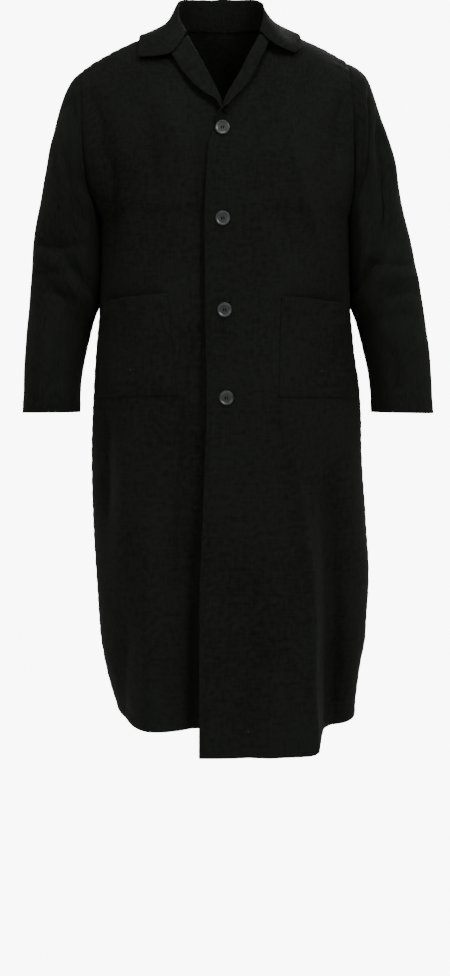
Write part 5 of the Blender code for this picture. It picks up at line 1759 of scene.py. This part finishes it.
@dataclass
class Button(Piece):
    """A turned four-hole button sewn on through two pairs of holes."""

    radius: float = 0.0120
    thickness: float = 0.0032
    back_round: float = 0.0009
    crown: float = 0.0013
    dish_radius: float = 0.0088
    dish_slope: float = 0.0012
    flat_radius: float = 0.0042
    dish_depth: float = 0.0010
    hole_radius: float = 0.00095
    hole_spread: float = 0.00175
    cut_past: float = 0.002
    thread_radius: float = 0.00048
    strand_step: float = 1.1
    strand_lift: float = 0.0004
    middle_lift: float = 0.00025
    thread_sides: int = 8
    sides: int = 72

    def body(self, name: str, material: bpy.types.Material) -> bpy.types.Object:
        """The button with its holes cut through."""
        under, crown, inside = self.back_round, self.crown, self.dish_radius - self.dish_slope
        profile = [(self.radius - under, 0.0)]
        for step in range(5):
            angle = -math.pi / 2 + math.pi / 2 * (step + 1) / 5
            profile.append((self.radius - under + under * math.cos(angle), under + under * math.sin(angle)))
        for step in range(1, 8):
            angle = math.pi / 2 * step / 7
            profile.append((self.radius - crown + crown * math.cos(angle),
                            self.thickness - crown + crown * math.sin(angle)))
        for step in range(1, 10):
            share = step / 9
            profile.append((blend(self.radius - crown, inside, share),
                            self.thickness - self.dish_depth * float(ease(share))))
        for step in range(1, 5):
            share = step / 4
            profile.append((blend(inside, self.flat_radius, share),
                            self.thickness - self.dish_depth * (1 + 0.12 * share)))
        points = [point for radius, height in profile for point in circle(radius, height, self.sides)]
        piece = add_mesh(name, points, tube_faces(0, len(profile), self.sides))
        cutters = self.cutters()
        cut = piece.modifiers.new("holes", "BOOLEAN")
        cut.operation = "DIFFERENCE"
        cut.solver = "EXACT"
        cut.object = cutters
        made = settle(piece, name)
        piece.modifiers.clear()
        piece.data = made
        bpy.data.objects.remove(cutters, do_unlink=True)
        made.materials.clear()
        dress(made, material)
        made.set_sharp_from_angle(angle=math.radians(38))
        return piece

    def hole_places(self) -> list[tuple[float, float]]:
        """Centres of the four holes."""
        half = self.hole_spread
        return [(-half, -half), (half, -half), (half, half), (-half, half)]

    def cutters(self) -> bpy.types.Object:
        """Four small round rods that cut the holes."""
        points, faces, count = [], [], 20
        for centre in self.hole_places():
            faces += tube_faces(len(points), 2, count)
            for height in (-self.cut_past, self.thickness + self.cut_past):
                points += circle(self.hole_radius, height, count, centre)
        return add_mesh("button_holes", points, faces)

    def thread(self, name: str, material: bpy.types.Material, drop: float) -> bpy.types.Object:
        """Two upright bars of thread through the holes, and the shank down to the cloth."""
        face = self.thickness - self.dish_depth * 1.1
        entry = face - self.strand_lift
        half, ring = self.hole_spread, self.thread_sides
        points, faces = [], []
        for column_x in (-half, half):
            for strand in (-1, 0, 1):
                x = column_x + strand * self.thread_radius * self.strand_step
                lift = self.strand_lift + (self.middle_lift if strand == 0 else 0.0)
                angles = [step * math.pi / 12 for step in range(-6, 7)]
                arc = [(x, half * math.sin(angle), face + lift * math.cos(angle)) for angle in angles]
                ends = ((x, -half, -drop), (x, -half, entry)), ((x, half, entry), (x, half, -drop))
                line = np.array([*ends[0], *arc, *ends[1]])
                faces += tube_faces(len(points), len(line), ring)
                beside = np.array([1.0, 0.0, 0.0])
                for point, way in zip(line, unit(np.gradient(line, axis=0))):
                    over = unit(np.cross(way, beside))
                    for turn in range(ring):
                        angle = 2 * math.pi * turn / ring
                        offset = beside * math.cos(angle) + over * math.sin(angle)
                        points.append((point + offset * self.thread_radius).tolist())
        piece = add_mesh(name, points, faces)
        dress(piece.data, material)
        return piece


@dataclass
class Coat:
    """The whole coat."""

    finishes: Finishes
    form: BodyForm = field(default_factory=BodyForm)
    size: GridSize = field(default_factory=GridSize)
    sewing: Sewing = field(default_factory=Sewing)
    stitches: StitchRow = field(default_factory=StitchRow)
    button: Button = field(default_factory=Button)
    button_stand: float = 0.0006
    shank_end: float = 0.0006
    cuts: dict[str, Cut] = field(default_factory=lambda: {
        "back": Cut(0.68, 1.24, 0.715), "collar": Cut(0.58, 0.16, 0.0575),
        "front_left": Cut(0.43, 1.31, 0.430), "front_right": Cut(0.40, 1.28, 0.405),
        "sleeve_left": Cut(0.48, 0.64, 0.217), "sleeve_right": Cut(0.48, 0.64, 0.210),
        "pocket_left": Cut(0.175, 0.17, 0.0265), "pocket_right": Cut(0.175, 0.17, 0.0275)})

    def pockets(self) -> tuple[Pocket, ...]:
        """The two patch pockets."""
        return (
            Pocket("pocket_right", Side.LEFT, Corner(-0.095, -0.467), Corner(-0.205, -0.478),
                   Corner(-0.080, -0.634), Corner(-0.217, -0.636)),
            Pocket("pocket_left", Side.RIGHT, Corner(0.093, -0.472), Corner(0.200, -0.480),
                   Corner(0.087, -0.637), Corner(0.224, -0.637)))

    def button_places(self) -> tuple[Corner, ...]:
        """The four buttons, from the top."""
        return (Corner(-0.0040, -0.1965), Corner(-0.0036, -0.3446), Corner(-0.0008, -0.4938),
                Corner(0.0024, -0.638))

    def build(self) -> None:
        shell = Shell(self.form, self.size, self.sewing)
        grids = shell.make()
        tree = self.stitches.tree(self.finishes.thread)
        for name, grid in grids.items():
            LOG.info("%s area %.3f m2", name, grid.area())
            piece = grid.build(name + "_cloth", self.form.cloth, self.finishes.cloth)
            shell.declare_cloth(piece, name, self.cuts[name])
            rows = shell.rows(name, grid)
            if rows:
                sewn = self.stitches.sew(name + "_stitches", rows, tree, self.finishes.thread)
                shell.declare(sewn, "cloth")
        for pocket in self.pockets():
            front = grids["front_left" if pocket.side is Side.RIGHT else "front_right"]
            grid = pocket.grid(shell, front)
            LOG.info("%s area %.3f m2", pocket.name, grid.area())
            piece = grid.build(pocket.name + "_cloth", self.form.cloth, self.finishes.cloth)
            pocket.declare_cloth(piece, pocket.name, self.cuts[pocket.name])
            sewn = self.stitches.sew(pocket.name + "_stitches", pocket.rows(grid, self.form.cloth / 2), tree,
                                     self.finishes.thread)
            pocket.declare(sewn, "cloth")
        self.add_buttons(grids["front_left"])

    def add_buttons(self, front: ClothGrid) -> None:
        """Sets the buttons on the over front, each square to the cloth under it."""
        flat = front.points[..., (0, 2)]
        for number, place in enumerate(self.button_places(), 1):
            distance = np.hypot(flat[..., 0] - place.x, flat[..., 1] - place.z)
            near = distance < self.button.radius
            normal = unit(front.normals[near].mean(0))
            # The button rests on the highest cloth under it
            centre = front.points[near].mean(0)
            centre = centre + np.array([place.x - centre[0], 0.0, place.z - centre[2]])
            rest = float(((front.points[near] - centre) @ normal).max())
            at = centre + normal * (rest + self.form.cloth / 2 + self.button_stand)
            right = unit(np.cross(np.array([0.0, 0.0, 1.0]), normal))
            turn = np.stack([right, np.cross(normal, right), normal], 1)
            name = f"button_{number}"
            body = self.button.body(name + "_disc", self.finishes.button)
            drop = rest + self.button_stand + self.shank_end
            thread = self.button.thread(name + "_thread", self.finishes.thread, drop)
            for piece in (body, thread):
                count = len(piece.data.vertices)
                points = np.empty(count * 3, np.float32)
                piece.data.vertices.foreach_get("co", points)
                moved = points.reshape(-1, 3) @ turn.T + at
                piece.data.vertices.foreach_set("co", moved.astype(np.float32).ravel())
                piece.data.update()
            self.button.declare(body, "button", name)
            self.button.declare(thread, "cloth")


# Studio


@dataclass(frozen=True)
class Lamp:
    """A soft rectangular lamp that looks at a point of the coat."""

    name: str
    place: tuple[float, float, float]
    aim: tuple[float, float, float]
    width: float
    height: float
    power: float


@dataclass(frozen=True)
class Studio:
    """Pale sweep, soft lamps and the photograph's camera."""

    floor_z: float = -1.50
    sweep_y: float = 4.4
    sweep_radius: float = 1.1
    half_width: float = 7.0
    depth: float = 6.0
    height: float = 5.0
    world: float = 0.27
    paper: float = 9.0
    lamps: tuple[Lamp, ...] = (
        Lamp("key", (1.7, -2.6, 1.7), (0.0, 0.0, -0.5), 1.2, 1.2, 98.0),
        Lamp("fill", (-1.9, -2.7, 0.9), (0.0, 0.0, -0.6), 1.0, 1.6, 33.0),
        Lamp("top", (-0.2, -1.1, 2.4), (0.0, 0.0, -0.3), 1.2, 0.8, 42.0),
        Lamp("behind", (0.9, 2.3, 1.9), (0.0, 0.0, -0.5), 1.0, 0.8, 110.0),
        Lamp("side_left", (-2.9, 1.5, 0.7), (0.0, 0.0, -0.5), 0.8, 1.4, 44.0),
        Lamp("side_right", (2.9, 1.3, 0.7), (0.0, 0.0, -0.5), 0.8, 1.4, 40.0))
    camera_place: tuple[float, float, float] = (0.0, -2.6, -0.637)
    camera_tilt: float = 86.5
    lens: float = 54.7

    def build(self) -> None:
        """Makes the stage, the lamps and the camera."""
        self.sweep()
        world = bpy.data.worlds.new("studio")
        bpy.context.scene.world = world
        world.use_nodes = True
        background = world.node_tree.nodes["Background"]
        background.inputs["Color"].default_value = (1.0, 1.0, 1.0, 1.0)
        background.inputs["Strength"].default_value = self.world
        for lamp in self.lamps:
            self.light(lamp)
        data = bpy.data.cameras.new("camera")
        data.sensor_fit = "VERTICAL"
        data.sensor_height = 36.0
        data.lens = self.lens
        camera = bpy.data.objects.new("camera", data)
        camera.location = self.camera_place
        camera.rotation_euler = (math.radians(self.camera_tilt), 0.0, 0.0)
        bpy.context.collection.objects.link(camera)
        bpy.context.scene.camera = camera

    def light(self, lamp: Lamp) -> None:
        """One area lamp."""
        data = bpy.data.lights.new(lamp.name, "AREA")
        data.shape = "RECTANGLE"
        data.size = lamp.width
        data.size_y = lamp.height
        data.energy = lamp.power
        light = bpy.data.objects.new(lamp.name, data)
        way = unit(np.array(lamp.place) - np.array(lamp.aim))
        right = unit(np.cross(np.array([0.0, 0.0, 1.0]), way))
        up = np.cross(way, right)
        rows = [[right[axis], up[axis], way[axis], lamp.place[axis]] for axis in range(3)]
        light.matrix_world = Matrix(rows + [[0, 0, 0, 1]])
        light.visible_camera = False
        bpy.context.collection.objects.link(light)

    def sweep(self) -> None:
        """Floor and backdrop in one curved sheet."""
        line = [(-self.depth, 0.0), (self.sweep_y - self.sweep_radius, 0.0)]
        for step in range(1, 17):
            angle = math.pi / 2 * step / 16
            line.append((self.sweep_y - self.sweep_radius + self.sweep_radius * math.sin(angle),
                         self.sweep_radius * (1 - math.cos(angle))))
        line.append((self.sweep_y, self.height))
        points = [(x, y, self.floor_z + z) for y, z in line for x in (-self.half_width, self.half_width)]
        faces = [[2 * n, 2 * n + 1, 2 * n + 3, 2 * n + 2] for n in range(len(line) - 1)]
        floor = add_mesh("sweep", points, faces)
        dress(floor.data, self.pale_paper())

    def pale_paper(self) -> bpy.types.Material:
        """Matt paper that is lit to the camera and clear from its far side."""
        material, nodes, shader = new_material("pale_paper")
        place = nodes.add("ShaderNodeTexCoord").outputs["Object"]
        rough = nodes.add("ShaderNodeMapRange", {0: nodes.noise(place, 40.0, 2.0), 3: 0.85, 4: 0.95})
        nodes.feed(shader, {"Roughness": rough.outputs[0], "Base Color": (0.86, 0.86, 0.86, 1.0),
                            "Specular IOR Level": 0.2})
        # The paper looks lit to the camera, yet throws little light back on the coat
        glow = nodes.add("ShaderNodeEmission", {"Strength": self.paper}).outputs[0]
        camera_ray = nodes.add("ShaderNodeLightPath").outputs["Is Camera Ray"]
        paper = nodes.add("ShaderNodeMixShader", {0: camera_ray, 1: shader.outputs[0], 2: glow}).outputs[0]
        # The far side is clear, so the coat shows from behind too
        seen = nodes.add("ShaderNodeNewGeometry").outputs["Backfacing"]
        clear = nodes.add("ShaderNodeBsdfTransparent").outputs[0]
        mix = nodes.add("ShaderNodeMixShader", {0: seen, 1: paper, 2: clear})
        nodes.feed(material.node_tree.nodes["Material Output"], {"Surface": mix.outputs[0]})
        return material


def main() -> None:
    """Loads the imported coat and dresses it."""
    logging.basicConfig(level=logging.INFO, format="%(name)s: %(message)s")
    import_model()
    Studio().build()
    finishes = Finishes(ClothFinish().build(canvas_group()), ButtonFinish().build(), ThreadFinish().build())
    Coat(finishes).build()


if __name__ == "__main__":
    main()
